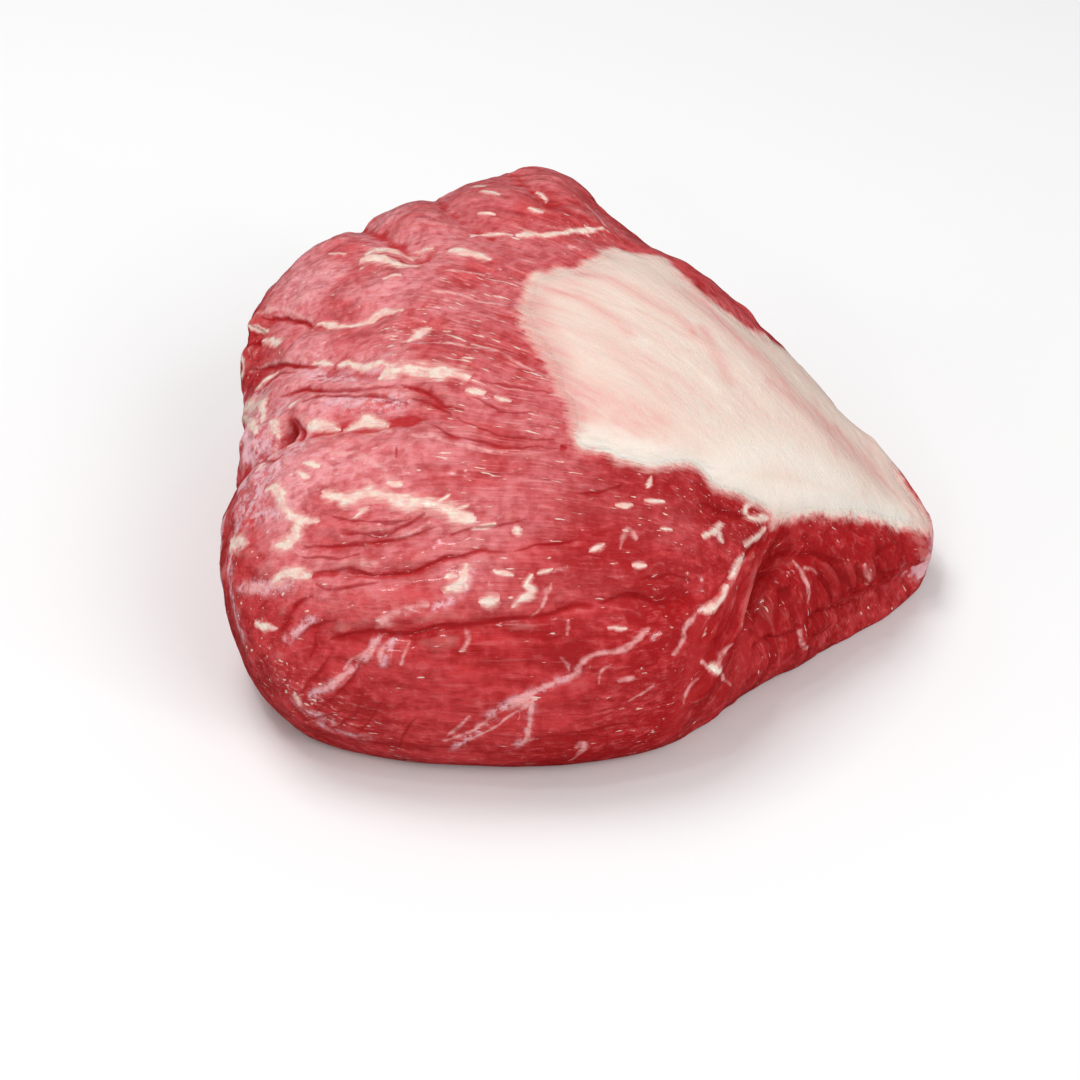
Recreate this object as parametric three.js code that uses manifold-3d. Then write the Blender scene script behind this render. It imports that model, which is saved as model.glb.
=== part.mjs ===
// A raw rump cap: a thick wedge of beef, tall along its back and left sides and thin at its right-hand
// point, with a cap of fat let into the slope between the crown and the point.
// Millimetres, +Z up. The flat underside rests on z = 0, and the origin is under the middle of the piece.
import * as THREE from "three";
import { ParametricGeometry } from "three/addons/geometries/ParametricGeometry.js";
import { mergeVertices } from "three/addons/utils/BufferGeometryUtils.js";
import Module from "manifold-3d";

// ---- Driving dimensions ----

// The crown is the highest part of the top. Every section of the meat runs out from it to the rim.
const CROWN = { x: -6, y: -2, height: 76 };

// Stations round the rim, anticlockwise seen from above. x and y: the widest point of the wall, and belly:
// its height. top: the height that the top surface falls to at the rim. square: how square the shoulder
// is, from 2 for a round one. foot: how far the wall tucks in under the belly.
const RIM = [
  { x: -20, y: -97, belly: 23, top: 65, square: 2.5, foot: 11 }, // middle of the front
  { x: 18, y: -90, belly: 22, top: 63, square: 2.5, foot: 11 },
  { x: 40, y: -68, belly: 18, top: 54, square: 3.4, foot: 7 }, // the cut face begins
  { x: 65, y: -46, belly: 14, top: 40, square: 3.8, foot: 5 },
  { x: 83, y: -29, belly: 11, top: 24, square: 3.6, foot: 4 },
  { x: 89, y: -15, belly: 10, top: 21, square: 3.0, foot: 5 }, // the point
  { x: 75, y: 16, belly: 14, top: 32, square: 3.4, foot: 7 },
  { x: 49, y: 52, belly: 20, top: 49, square: 3.6, foot: 9 },
  { x: 17, y: 75, belly: 25, top: 62, square: 3.8, foot: 11 },
  { x: -8, y: 97, belly: 31, top: 75, square: 4.2, foot: 11 }, // the back corner
  { x: -34, y: 87, belly: 31, top: 76, square: 4.0, foot: 11 },
  { x: -67, y: 68, belly: 31, top: 74, square: 3.6, foot: 11 },
  { x: -88, y: 37, belly: 31, top: 68, square: 3.4, foot: 9 }, // the left end
  { x: -84, y: -8, belly: 31, top: 67, square: 3.0, foot: 9 },
  { x: -87, y: -51, belly: 27, top: 65, square: 2.7, foot: 11 },
  { x: -68, y: -87, belly: 24, top: 65, square: 2.5, foot: 11 },
];

// Folds and muscle seams: the line of each over the surface, its half-width and its depth.
const FOLDS = [
  { depth: 3.8, width: 5.5, line: [[-86, -32, 32], [-75, -36, 56], [-57, -40, 65], [-42, -43, 69]] }, // left seam
  { depth: 2.4, width: 4.5, line: [[-88, 27, 45], [-74, 14, 61], [-63, 3, 66], [-48, 0, 71]] },
  { depth: 1.8, width: 4.5, line: [[-85, 8, 46], [-70, -8, 61], [-54, -23, 68], [-39, -32, 72]] },
  { depth: 2.0, width: 3.6, line: [[-68, -70, 51], [-50, -76, 54], [-33, -75, 57], [-24, -71, 60]] }, // brow fold
  { depth: 2.2, width: 3.6, line: [[-63, -78, 48], [-42, -81, 52], [-20, -77, 56], [2, -73, 58]] },
  { depth: 2.4, width: 4.0, line: [[-60, -89, 38], [-33, -90, 43], [2, -85, 47], [24, -79, 43]] }, // long fold
  { depth: 3.4, width: 4.5, line: [[50, -52, 38], [44, -60, 36], [39, -70, 24], [31, -80, 14]] }, // in the cut face
  { depth: 3.0, width: 5.0, line: [[-62, 66, 60], [-53, 45, 70], [-42, 26, 74]] }, // notches in the back edge
  { depth: 3.0, width: 5.0, line: [[-40, 78, 62], [-36, 53, 73], [-24, 33, 76]] },
  { depth: 2.6, width: 4.5, line: [[-20, 86, 62], [-16, 69, 73], [-8, 50, 76]] },
];

// The long shallow swells that keep the surface from being true: height, and length along X, Y and Z.
const SWELL = { height: 0.9, along: [53, 41, 37] };

// The fat cap: its edge seen from above, how thick it is in the middle and at its edge, how near the rim
// it may come as a share of the way from the crown, and the fit between it and the lean.
const FAT = {
  middle: { x: 30, y: -12 },
  edge: [
    [8, 27], [-5, 18], [-14, 6], [-15, -6], [-11, -21], [-7, -36], [-2, -48], [8, -53], [25, -50],
    [40, -49], [55, -41], [70, -29], [90, -18], [98, -8], [86, 16], [62, 42], [40, 52], [24, 41],
  ],
  thickness: 6,
  edgeThickness: 4,
  nearestRim: 0.955,
  fit: 0.3,
};

// How many rings of facets each stretch of a section has, from the middle of the underside to the crown,
// and how many sections go round.
const RINGS = { flat: 1, roll: 4, wall: 9, top: 16 };
const SECTIONS = 92;
const FAT_RINGS = 8;
const FAT_SECTIONS = 64;

const LEAN_COLOUR = 0xb4383c;
const FAT_COLOUR = 0xecd6c9;

// ---- The rim ----

const FIELDS = ["x", "y", "belly", "top", "square", "foot"];

// A closed curve through the values, each stretch a cubic that passes through its two ends.
function throughValues(values, at) {
  const count = values.length;
  const start = Math.floor(at);
  const share = at - start;
  const [before, a, b, after] = [-1, 0, 1, 2].map((step) => values[(start + step + count) % count]);
  const bend = 2 * before - 5 * a + 4 * b - after;
  const twist = 3 * a - before - 3 * b + after;
  return a + 0.5 * share * (b - before + share * (bend + share * twist));
}

function stationBetween(at) {
  return Object.fromEntries(FIELDS.map((name) => [name, throughValues(RIM.map((s) => s[name]), at)]));
}

const bearingOf = (p) => Math.atan2(p.y - CROWN.y, p.x - CROWN.x);

// The rim as a fine table sorted by bearing from the crown, so that any bearing can be looked up.
const RIM_STEPS = 960;
const rimTable = Array.from({ length: RIM_STEPS }, (_, i) => stationBetween((i / RIM_STEPS) * RIM.length))
  .map((station) => ({ ...station, bearing: bearingOf(station) }))
  .sort((p, q) => p.bearing - q.bearing);

function rimAt(bearing) {
  const turn = 2 * Math.PI;
  const first = rimTable[0].bearing;
  const wanted = first + ((((bearing - first) % turn) + turn) % turn);
  let low = 0;
  let high = RIM_STEPS;
  while (high - low > 1) {
    const middle = (low + high) >> 1;
    if (rimTable[middle].bearing <= wanted) low = middle;
    else high = middle;
  }
  const a = rimTable[low];
  const b = rimTable[(low + 1) % RIM_STEPS];
  const gap = (b.bearing - a.bearing + turn) % turn;
  const share = gap > 0 ? (wanted - a.bearing) / gap : 0;
  return Object.fromEntries(FIELDS.map((name) => [name, a[name] + share * (b[name] - a[name])]));
}

// ---- The plain surface ----

// A section's shoulder is a Lame curve: a point (out, up) of the unit square's two far sides, drawn in
// until out and up, each raised to the power square, add up to 1.
function lame(out, up, square) {
  const length = (out ** square + up ** square) ** (1 / square);
  return { out: out / length, up: up / length };
}

// The height of the top sheet at a share out from the crown, where up is the Lame height there.
function topHeight(rim, out, up) {
  const cover = CROWN.height + (rim.top - CROWN.height) * out * out;
  return rim.belly + (cover - rim.belly) * up;
}

// The point on the section at a bearing. ring counts from the middle of the underside to the crown.
function plainPoint(bearing, ring) {
  const rim = rimAt(bearing);
  const reach = Math.hypot(rim.x - CROWN.x, rim.y - CROWN.y);
  const tuck = rim.foot / reach;
  const rolled = ring - RINGS.flat;
  const climbed = rolled - RINGS.roll;
  const crossed = climbed - RINGS.wall;
  let out;
  let height;
  if (rolled <= 0) {
    out = (ring / RINGS.flat) * (1 - tuck);
    height = 0;
  } else if (climbed <= 0) {
    const turned = (1 - rolled / RINGS.roll) * (Math.PI / 2);
    out = 1 - tuck * (1 - Math.cos(turned));
    height = rim.belly * (1 - Math.sin(turned));
  } else {
    const onWall = crossed <= 0;
    const corner = onWall
      ? lame(1, climbed / RINGS.wall, rim.square)
      : lame(1 - crossed / RINGS.top, 1, rim.square);
    out = corner.out;
    height = topHeight(rim, corner.out, corner.up);
  }
  return new THREE.Vector3(
    CROWN.x + (rim.x - CROWN.x) * out,
    CROWN.y + (rim.y - CROWN.y) * out,
    height,
  );
}

// How far out from the crown a point seen from above lies, as a share of the way to the rim.
function shareOut(x, y) {
  const rim = rimAt(bearingOf({ x, y }));
  return Math.hypot(x - CROWN.x, y - CROWN.y) / Math.hypot(rim.x - CROWN.x, rim.y - CROWN.y);
}

// The height of the plain top surface over a point seen from above.
function heightOver(x, y) {
  const rim = rimAt(bearingOf({ x, y }));
  const out = Math.min(shareOut(x, y), 1);
  const up = (1 - out ** rim.square) ** (1 / rim.square);
  return topHeight(rim, out, up);
}

// ---- Folds and swells ----

const foldLines = FOLDS.map(({ line, ...fold }) => {
  const curve = new THREE.CatmullRomCurve3(line.map((point) => new THREE.Vector3(...point)));
  return { ...fold, points: curve.getPoints(16) };
});

// How far the surface stands out at a point: the swells, less each fold's smooth trough.
function relief(point) {
  const [alongX, alongY, alongZ] = SWELL.along.map((length) => (2 * Math.PI) / length);
  const swell =
    Math.sin(point.x * alongX + point.z * alongZ) + Math.sin(point.y * alongY - point.z * alongZ);
  const troughs = foldLines.map(({ points, depth, width }) => {
    const nearest = Math.min(...points.map((p) => p.distanceTo(point)));
    return depth * Math.exp(-((nearest / width) ** 2));
  });
  return SWELL.height * 0.5 * swell - troughs.reduce((sum, trough) => sum + trough, 0);
}

// The surface point with its relief, which stands square to the surface and fades out at the foot.
const STEP = 0.02;

function meatPoint(bearing, ring, target) {
  const point = plainPoint(bearing, ring);
  const rings = RINGS.flat + RINGS.roll + RINGS.wall + RINGS.top;
  const nearPole = ring > rings - 1;
  const fromFoot = ring - RINGS.flat;
  if (fromFoot <= 0 || nearPole) {
    target.copy(point);
    return;
  }
  const round = plainPoint(bearing + STEP, ring).sub(plainPoint(bearing - STEP, ring));
  const upwards = plainPoint(bearing, ring + STEP).sub(plainPoint(bearing, ring - STEP));
  const outwards = round.cross(upwards).normalize();
  const held = Math.min(fromFoot / RINGS.roll, 1);
  target.copy(point).addScaledVector(outwards, relief(point) * held);
}

// ---- Solids ----

const wasm = await Module();
wasm.setup();

// A closed surface worked out from a function of two shares, as a manifold-3d solid.
function closedSolid(surface, sections, rings) {
  const made = new ParametricGeometry(surface, sections, rings);
  made.deleteAttribute("normal");
  made.deleteAttribute("uv");
  const merged = mergeVertices(made, 1e-3);
  return new wasm.Manifold(
    new wasm.Mesh({
      numProp: 3,
      vertProperties: merged.attributes.position.array,
      triVerts: new Uint32Array(merged.index.array),
    }),
  );
}

function geometryOf(solid) {
  const { vertProperties, triVerts } = solid.getMesh();
  const geometry = new THREE.BufferGeometry();
  geometry.setAttribute("position", new THREE.BufferAttribute(vertProperties, 3));
  geometry.setIndex(new THREE.BufferAttribute(triVerts, 1));
  geometry.computeVertexNormals();
  return geometry;
}

// The whole piece before the fat is parted from the lean.
function wholePiece() {
  const rings = RINGS.flat + RINGS.roll + RINGS.wall + RINGS.top;
  const surface = (u, v, target) => meatPoint(u * 2 * Math.PI, v * rings, target);
  return closedSolid(surface, SECTIONS, rings);
}

// A drum that takes in the fat: its floor lies under the top surface by the fat's thickness, and its lid
// is well above the meat. inset draws its side and its floor in, for the fit.
const LID_HEIGHT = 100;

function fatDrum(inset) {
  const edge = new THREE.CatmullRomCurve3(
    FAT.edge.map(([x, y]) => new THREE.Vector3(x, y, 0)),
    true,
  );
  const surface = (u, v, target) => {
    const rim = edge.getPoint(u);
    const ring = v * (FAT_RINGS + 2);
    const share = Math.min(ring / FAT_RINGS, Math.max(FAT_RINGS + 2 - ring, 0));
    const reach = Math.hypot(rim.x - FAT.middle.x, rim.y - FAT.middle.y);
    const drawn = share * (1 - inset / reach);
    let x = FAT.middle.x + (rim.x - FAT.middle.x) * drawn;
    let y = FAT.middle.y + (rim.y - FAT.middle.y) * drawn;
    const pull = Math.min(1, (FAT.nearestRim - inset / 60) / shareOut(x, y));
    x = CROWN.x + (x - CROWN.x) * pull;
    y = CROWN.y + (y - CROWN.y) * pull;
    const thin = FAT.thickness + (FAT.edgeThickness - FAT.thickness) * share ** 2;
    const isFloor = ring <= FAT_RINGS + 0.5;
    target.set(x, y, isFloor ? heightOver(x, y) - thin + inset : LID_HEIGHT);
  };
  return closedSolid(surface, FAT_SECTIONS, FAT_RINGS + 2);
}

// ---- The object ----

function part(name, solid, color, roughness) {
  const mesh = new THREE.Mesh(
    geometryOf(solid),
    new THREE.MeshStandardMaterial({ color, roughness, metalness: 0 }),
  );
  mesh.name = name;
  return mesh;
}

const whole = wholePiece();
const rumpCap = new THREE.Group();
rumpCap.name = "rump_cap";
rumpCap.add(part("lean", whole.subtract(fatDrum(0)), LEAN_COLOUR, 0.38));
rumpCap.add(part("fat_cap", whole.intersect(fatDrum(FAT.fit)), FAT_COLOUR, 0.5));

export default rumpCap;
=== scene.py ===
# %% [markdown]
# # A raw rump cap
# A rump cap is a wedge of beef from the top of the rump. It is tall along its back and left sides and
# thin at its right-hand point, and a layer of fat lies on the slope between the crown and the point.
# This lesson builds it around a model that is already packed at its real size. The imported model has two
# solids, the lean and the fat cap, and each gets a fine surface here. First the imported model is loaded
# as a fixed frame.

# %% Load the frame
import itertools

import bpy
import numpy as np
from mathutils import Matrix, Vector
from mathutils.bvhtree import BVHTree


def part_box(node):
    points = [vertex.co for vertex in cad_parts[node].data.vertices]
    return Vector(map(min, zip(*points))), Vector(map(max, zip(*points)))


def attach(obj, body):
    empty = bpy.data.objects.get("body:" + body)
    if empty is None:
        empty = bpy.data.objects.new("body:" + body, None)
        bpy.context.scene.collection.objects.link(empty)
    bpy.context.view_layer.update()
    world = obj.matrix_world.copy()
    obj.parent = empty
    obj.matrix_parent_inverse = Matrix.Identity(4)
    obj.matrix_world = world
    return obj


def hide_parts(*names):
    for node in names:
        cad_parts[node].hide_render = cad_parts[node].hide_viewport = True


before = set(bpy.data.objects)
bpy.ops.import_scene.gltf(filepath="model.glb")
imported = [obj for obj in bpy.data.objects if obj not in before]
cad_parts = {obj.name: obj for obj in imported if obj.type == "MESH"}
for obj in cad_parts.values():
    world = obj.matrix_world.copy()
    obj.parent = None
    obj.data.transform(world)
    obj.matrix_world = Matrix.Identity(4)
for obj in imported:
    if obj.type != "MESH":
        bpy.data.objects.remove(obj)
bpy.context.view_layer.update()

MM = 0.001
for node_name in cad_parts:
    low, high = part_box(node_name)
    print(node_name, "from", [round(c / MM, 1) for c in low], "to", [round(c / MM, 1) for c in high], "mm")

# %% [markdown]
# ## The camera
# The photograph looks down at the meat by 36 degrees with a long lens. The camera comes first, because
# the lines of fat and the creases are placed by where the photograph shows them: a pixel becomes a ray
# from this camera, and the place where the ray meets the meat is the place of the line.

# %% Camera
PHOTO_WIDTH = 1080
LOOKS_DOWN = np.radians(36)
TARGET = np.array([-11.0, 2.0, 0.0])
DISTANCE = 608.0
FOCAL_LENGTH_PIXELS = 2293
SENSOR_WIDTH = 36

VIEW_BACK = np.array([0, -np.cos(LOOKS_DOWN), np.sin(LOOKS_DOWN)])
VIEW_RIGHT = np.array([1.0, 0, 0])
VIEW_UP = np.cross(VIEW_BACK, VIEW_RIGHT)
eye = TARGET + DISTANCE * VIEW_BACK

camera = bpy.data.objects.new("camera", bpy.data.cameras.new("camera"))
camera.data.sensor_width = SENSOR_WIDTH
camera.data.lens = FOCAL_LENGTH_PIXELS / PHOTO_WIDTH * SENSOR_WIDTH
camera.location = eye * MM
camera.rotation_euler = (np.pi / 2 - LOOKS_DOWN, 0, 0)
bpy.context.scene.collection.objects.link(camera)
bpy.context.scene.camera = camera
print(f"camera {DISTANCE:.0f} mm away, lens {camera.data.lens:.1f} mm")

# %% [markdown]
# ## The plain form
# Cut the meat by an upright plane through its crown and every section has the same parts: a flat
# underside, a quarter turn up to the belly, a wall, a shoulder and a top that rises to the crown. So the
# whole skin is one function of two numbers: the bearing of the section, and how far along it the point
# lies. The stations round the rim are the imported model's own, so the fine skin is the same shape.

# %% Stations round the rim
CROWN = np.array([-6.0, -2.0])
CROWN_HEIGHT = 76.0
# x and y of the widest point, height of the belly, height of the top at the rim, squareness of the
# shoulder, and how far the foot tucks in
RIM = np.array([
    [-20, -97, 23, 65, 2.5, 11],  # middle of the front
    [18, -90, 22, 63, 2.5, 11],
    [40, -68, 18, 54, 3.4, 7],  # the cut face begins
    [65, -46, 14, 40, 3.8, 5],
    [83, -29, 11, 24, 3.6, 4],
    [89, -15, 10, 21, 3.0, 5],  # the point
    [75, 16, 14, 32, 3.4, 7],
    [49, 52, 20, 49, 3.6, 9],
    [17, 75, 25, 62, 3.8, 11],
    [-8, 97, 31, 75, 4.2, 11],  # the back corner
    [-34, 87, 31, 76, 4.0, 11],
    [-67, 68, 31, 74, 3.6, 11],
    [-88, 37, 31, 68, 3.4, 9],  # the left end
    [-84, -8, 31, 67, 3.0, 9],
    [-87, -51, 27, 65, 2.7, 11],
    [-68, -87, 24, 65, 2.5, 11],
])
RIM_STEPS = 960


def through(values, at):
    """A curve through rows of values. Between two rows it is the cubic that passes through both, with
    the slope at each row set by the rows on either side. at counts rows, and the curve closes."""
    start = np.floor(at).astype(int)
    share = (at - start)[:, None]
    before, a, b, after = (values[(start + step) % len(values)] for step in (-1, 0, 1, 2))
    bend = 2 * before - 5 * a + 4 * b - after
    twist = 3 * a - before - 3 * b + after
    return a + 0.5 * share * (b - before + share * (bend + share * twist))


rim_fine = through(RIM, np.arange(RIM_STEPS) / RIM_STEPS * len(RIM))
rim_bearings = np.arctan2(rim_fine[:, 1] - CROWN[1], rim_fine[:, 0] - CROWN[0])


def rim_at(bearing):
    """The six station values at any bearing from the crown, read from the fine curve."""
    return [np.interp(bearing, rim_bearings, column, period=2 * np.pi) for column in rim_fine.T]


print("rim", len(RIM), "stations,", RIM_STEPS, "steps")

# %% Skin as a function of bearing and place along the section
# how many units of the second number each stretch of a section takes
FLAT, ROLL, WALL, TOP = 1, 4, 9, 16


def section_point(rim, out, height):
    """The point of a section at a share of the way from the crown out to the rim, and at a height."""
    x, y = (CROWN[axis] + (rim[axis] - CROWN[axis]) * out for axis in (0, 1))
    return np.stack([x, y, height], -1)


def upper_height(rim, out, up):
    """The height at a share up from the belly to the top. At a share out from the crown the top is
    crown + (top - crown) * out * out high."""
    belly, top = rim[2:4]
    cover = CROWN_HEIGHT + (top - CROWN_HEIGHT) * out**2
    return belly + (cover - belly) * up


def skin(bearing, place):
    """The plain skin. Up to the belly it is a flat and then a quarter of an ellipse. Above the belly
    it is a point of the unit square's far sides, drawn in until out and up, each raised to the power
    square, add up to 1."""
    rim = rim_at(bearing)
    x, y, belly, _, square, foot = rim
    tuck = foot / np.hypot(x - CROWN[0], y - CROWN[1])
    turned = (1 - np.clip((place - FLAT) / ROLL, 0, 1)) * np.pi / 2
    climbed = np.clip((place - FLAT - ROLL) / WALL, 0, 1)
    left = 1 - np.clip((place - FLAT - ROLL - WALL) / TOP, 0, 1)
    length = (left**square + climbed**square) ** (1 / square)
    out, up = left / length, climbed / length
    below = place < FLAT + ROLL
    height = np.where(below, belly * (1 - np.sin(turned)), upper_height(rim, out, up))
    out = np.where(below, np.minimum(place / FLAT, 1) * (1 - tuck) + tuck * np.cos(turned), out)
    return section_point(rim, out, height)


def outward(surface, u, v, step=0.02):
    """The direction square to a surface: the cross product of its two tangents, each the difference
    between a point a little ahead and a point a little behind."""
    along_u = surface(u + step, v) - surface(u - step, v)
    along_v = surface(u, v + step) - surface(u, v - step)
    normal = np.cross(along_u, along_v)
    return normal / np.maximum(np.linalg.norm(normal, axis=-1, keepdims=True), 1e-9)


# %% [markdown]
# ## A closed grid
# Rings of points run from the middle of the underside to the crown, so the mesh is a globe with two
# poles. Rows of quads join neighbouring rings, and a fan of triangles closes each pole.

# %% Points and faces of a globe
SECTIONS = 592
RINGS_PER_STRETCH = ((FLAT, 4), (ROLL, 18), (WALL, 66), (TOP, 78))


def ring_places():
    """The second number of each ring, evenly spread over each stretch of the section."""
    places = [0.0]
    for length, rings in RINGS_PER_STRETCH:
        places += list(places[-1] + length * np.arange(1, rings + 1) / rings)
    return np.array(places)


def globe_points(rows, columns):
    """Every pair of a row value and a column value as two flat arrays, with one point at each pole."""
    row, column = (grid[1:-1].ravel() for grid in np.meshgrid(rows, columns, indexing="ij"))
    return np.r_[rows[0], row, rows[-1]], np.r_[0, column, 0]


def globe_faces(row_count, column_count):
    """Quads between neighbouring rings and a fan of triangles at each pole, all facing outwards."""
    grid = 1 + np.arange((row_count - 2) * column_count).reshape(row_count - 2, column_count)
    ahead = np.roll(grid, -1, axis=1)
    quads = np.stack([grid[:-1], ahead[:-1], ahead[1:], grid[1:]], -1).reshape(-1, 4)
    first = np.stack([0 * grid[0], ahead[0], grid[0]], -1)
    last = np.stack([0 * grid[0] + grid[-1, -1] + 1, grid[-1], ahead[-1]], -1)
    return quads.tolist() + first.tolist() + last.tolist()


places = ring_places()
place, bearing = globe_points(places, np.linspace(0, 2 * np.pi, SECTIONS, endpoint=False))
plain = skin(bearing, place)
normals = outward(skin, bearing, place)
normals[[0, -1]] = [[0, 0, -1], [0, 0, 1]]
lean_faces = globe_faces(len(places), SECTIONS)
print("skin", len(plain), "points, widest", np.ptp(plain, axis=0).round(1), "mm")

# %% [markdown]
# ## From a pixel to the meat
# A line in the photograph is written as the pixels it passes through. A smooth curve through them is
# sent down as rays, and the hits are the line on the meat, in millimetres.

# %% Rays from the camera
plain_tree = BVHTree.FromPolygons(plain.tolist(), lean_faces)
STEPS_PER_POINT = 8


def smooth_line(points):
    """An open curve through a few points: the same cubic as the rim's, with its two ends repeated."""
    points = np.asarray(points, float)
    held = np.concatenate([points[:1], points, points[-1:]])
    at = np.linspace(1, len(points), (len(points) - 1) * STEPS_PER_POINT + 1)
    return through(held, np.minimum(at, len(points) - 1e-6))


def on_meat(pixels):
    """The points of the plain skin that the camera sees at these pixels. A ray that misses is left out."""
    middle = PHOTO_WIDTH / 2
    hits = []
    for x, y in pixels:
        ray = VIEW_RIGHT * (x - middle) + VIEW_UP * (middle - y) - VIEW_BACK * FOCAL_LENGTH_PIXELS
        hit = plain_tree.ray_cast(Vector(eye), Vector(ray))[0]
        if hit:
            hits.append(hit)
    return np.array(hits)


def drawn(table):
    """The lines of a table on the meat, each after the numbers that stand before its pixels."""
    placed = [(*numbers, on_meat(smooth_line(path))) for *numbers, path in table]
    return [entry for entry in placed if len(entry[-1]) > 2]


print("middle of the photograph is", on_meat([(540, 540)]).round(1), "mm")

# %% [markdown]
# ## Random but repeatable bumps
# Flesh is never smooth, so the skin needs lumps of several sizes. Noise is random numbers on the corners
# of a lattice, blended in between. The corner numbers come from their own coordinates, so every run
# gives the same lumps.

# %% Lattice noise
CORNER_PRIMES = np.array([73856093, 19349663, 83492791])
SEED_PRIME = 97
MIXER = 1274126177
WORD = 0xFFFFFFFF


def noise(points, size, seed=0):
    """Numbers from -1 to 1. Each corner of a lattice of cells of this size gets a number hashed from
    its coordinates, and a point inside blends its eight corners by 3 t t - 2 t t t."""
    cells = points / np.asarray(size, float)
    corner = np.floor(cells).astype(np.int64)
    share = cells - corner
    share = share * share * (3 - 2 * share)
    total = np.zeros(len(points))
    for offset in itertools.product((0, 1), repeat=3):
        word = ((corner + offset) * CORNER_PRIMES).sum(-1) + seed * SEED_PRIME
        word = ((word ^ (word >> 13)) * MIXER) & WORD
        word = ((word ^ (word >> 15)) * MIXER) & WORD
        weight = np.where(offset, share, 1 - share).prod(-1)
        total += weight * (word / WORD * 2 - 1)
    return total


print("noise spread", noise(plain[::50], 9).std().round(2))

# %% [markdown]
# ## Distance to a line
# Every line, whether a crease or a seam of fat, is used in the same way: how far is each point of the
# skin from it, on which side, and how far along? The side matters. Halfway between two mesh points the
# shader sees the average of their values, and only a distance that changes sign across the line makes
# the average zero just on the line, so that a line thinner than a facet still comes out sharp.

# %% Signed distance to a line
# how far a line wanders to either side of its drawn path, and over what length, in millimetres
WANDER = ((0.55, 4.0), (0.3, 1.7))


def measure(points, facing, line, reach):
    """Which points lie within reach of a line, their distance across it (negative on its right), and
    their share of the way along it. Past an end, the distance is to the end."""
    low, high = line.min(0) - reach, line.max(0) + reach
    near = np.flatnonzero(((points > low) & (points < high)).all(1))
    nearest = ((points[near, None] - line[None]) ** 2).sum(-1).argmin(1)
    tangents = np.gradient(line, axis=0)
    tangent = (tangents / np.linalg.norm(tangents, axis=1, keepdims=True))[nearest]
    away = points[near] - line[nearest]
    ahead = (away * tangent).sum(-1)
    past_end = ((nearest == 0) & (ahead < 0)) | ((nearest == len(line) - 1) & (ahead > 0))
    square_to = away - ahead[:, None] * tangent
    distance = np.sqrt((square_to**2).sum(-1) + np.where(past_end, ahead, 0) ** 2)
    side = np.sign((np.cross(tangent, away) * facing[near]).sum(-1))
    along = nearest / (len(line) - 1)
    kept = distance < reach
    wander = sum(by * noise(points[near[kept]], size, seed=3) for by, size in WANDER)
    return near[kept], (side * distance)[kept] + wander, along[kept]


print("lines wander by up to", sum(by for by, size in WANDER), "mm")

# %% [markdown]
# ## Creases and folds
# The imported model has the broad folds. The fine skin repeats them with a sharper floor, adds one above
# the foot of the cut face, tucks the foot in at two places, swells at two more, and adds the creases that
# only show close up.

# %% Broad folds, in millimetres on the skin
# depth, half-width, and the points that the fold passes through
FOLDS = [
    # in from the left end
    (3.0, 4.5, [(-86, -32, 32), (-75, -36, 56), (-57, -40, 65), (-42, -43, 69)]),
    (2.0, 4.0, [(-88, 27, 45), (-74, 14, 61), (-63, 3, 66), (-48, 0, 71)]),
    (1.4, 4.0, [(-85, 8, 46), (-70, -8, 61), (-54, -23, 68), (-39, -32, 72)]),
    # the brow, and the long fold of the front
    (0.8, 3.0, [(-68, -70, 51), (-50, -76, 54), (-33, -75, 57), (-24, -71, 60)]),
    (1.0, 2.6, [(-63, -78, 48), (-42, -81, 52), (-20, -77, 56), (2, -73, 58)]),
    (1.1, 2.8, [(-60, -89, 38), (-33, -90, 43), (2, -85, 47), (24, -79, 43)]),
    # in the cut face, and above its foot
    (3.4, 4.5, [(50, -52, 38), (44, -60, 36), (39, -70, 24), (31, -80, 14), (28, -82, 4)]),
    (1.0, 2.6, [(53, -57, 18), (61, -50, 16), (66, -45, 13), (71, -41, 12.5), (78, -34, 10)]),
    # notches in the back edge
    (3.4, 4.5, [(-62, 66, 60), (-53, 45, 70), (-42, 26, 74)]),
    (2.4, 4.5, [(-40, 78, 62), (-36, 53, 73), (-24, 33, 76)]),
    (2.0, 4.0, [(-20, 86, 62), (-16, 69, 73), (-8, 50, 76)]),
    # the tucks in the foot
    (5.0, 8.0, [(84, -26, 6), (80, -31, 6), (74, -38, 6), (66, -44, 6)]),
    (3.0, 9.0, [(-70, -78, 5), (-64, -84, 4), (-55, -88, 5)]),
    # the swellings, whose depths are negative
    (-2.2, 9.0, [(-86, 24, 50), (-86, 10, 47), (-84, -2, 44), (-82, -18, 49)]),
    (-3.4, 8.0, [(86, -9, 15), (83, -2, 18), (80, 3, 21), (76, 8, 24)]),
]

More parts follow.
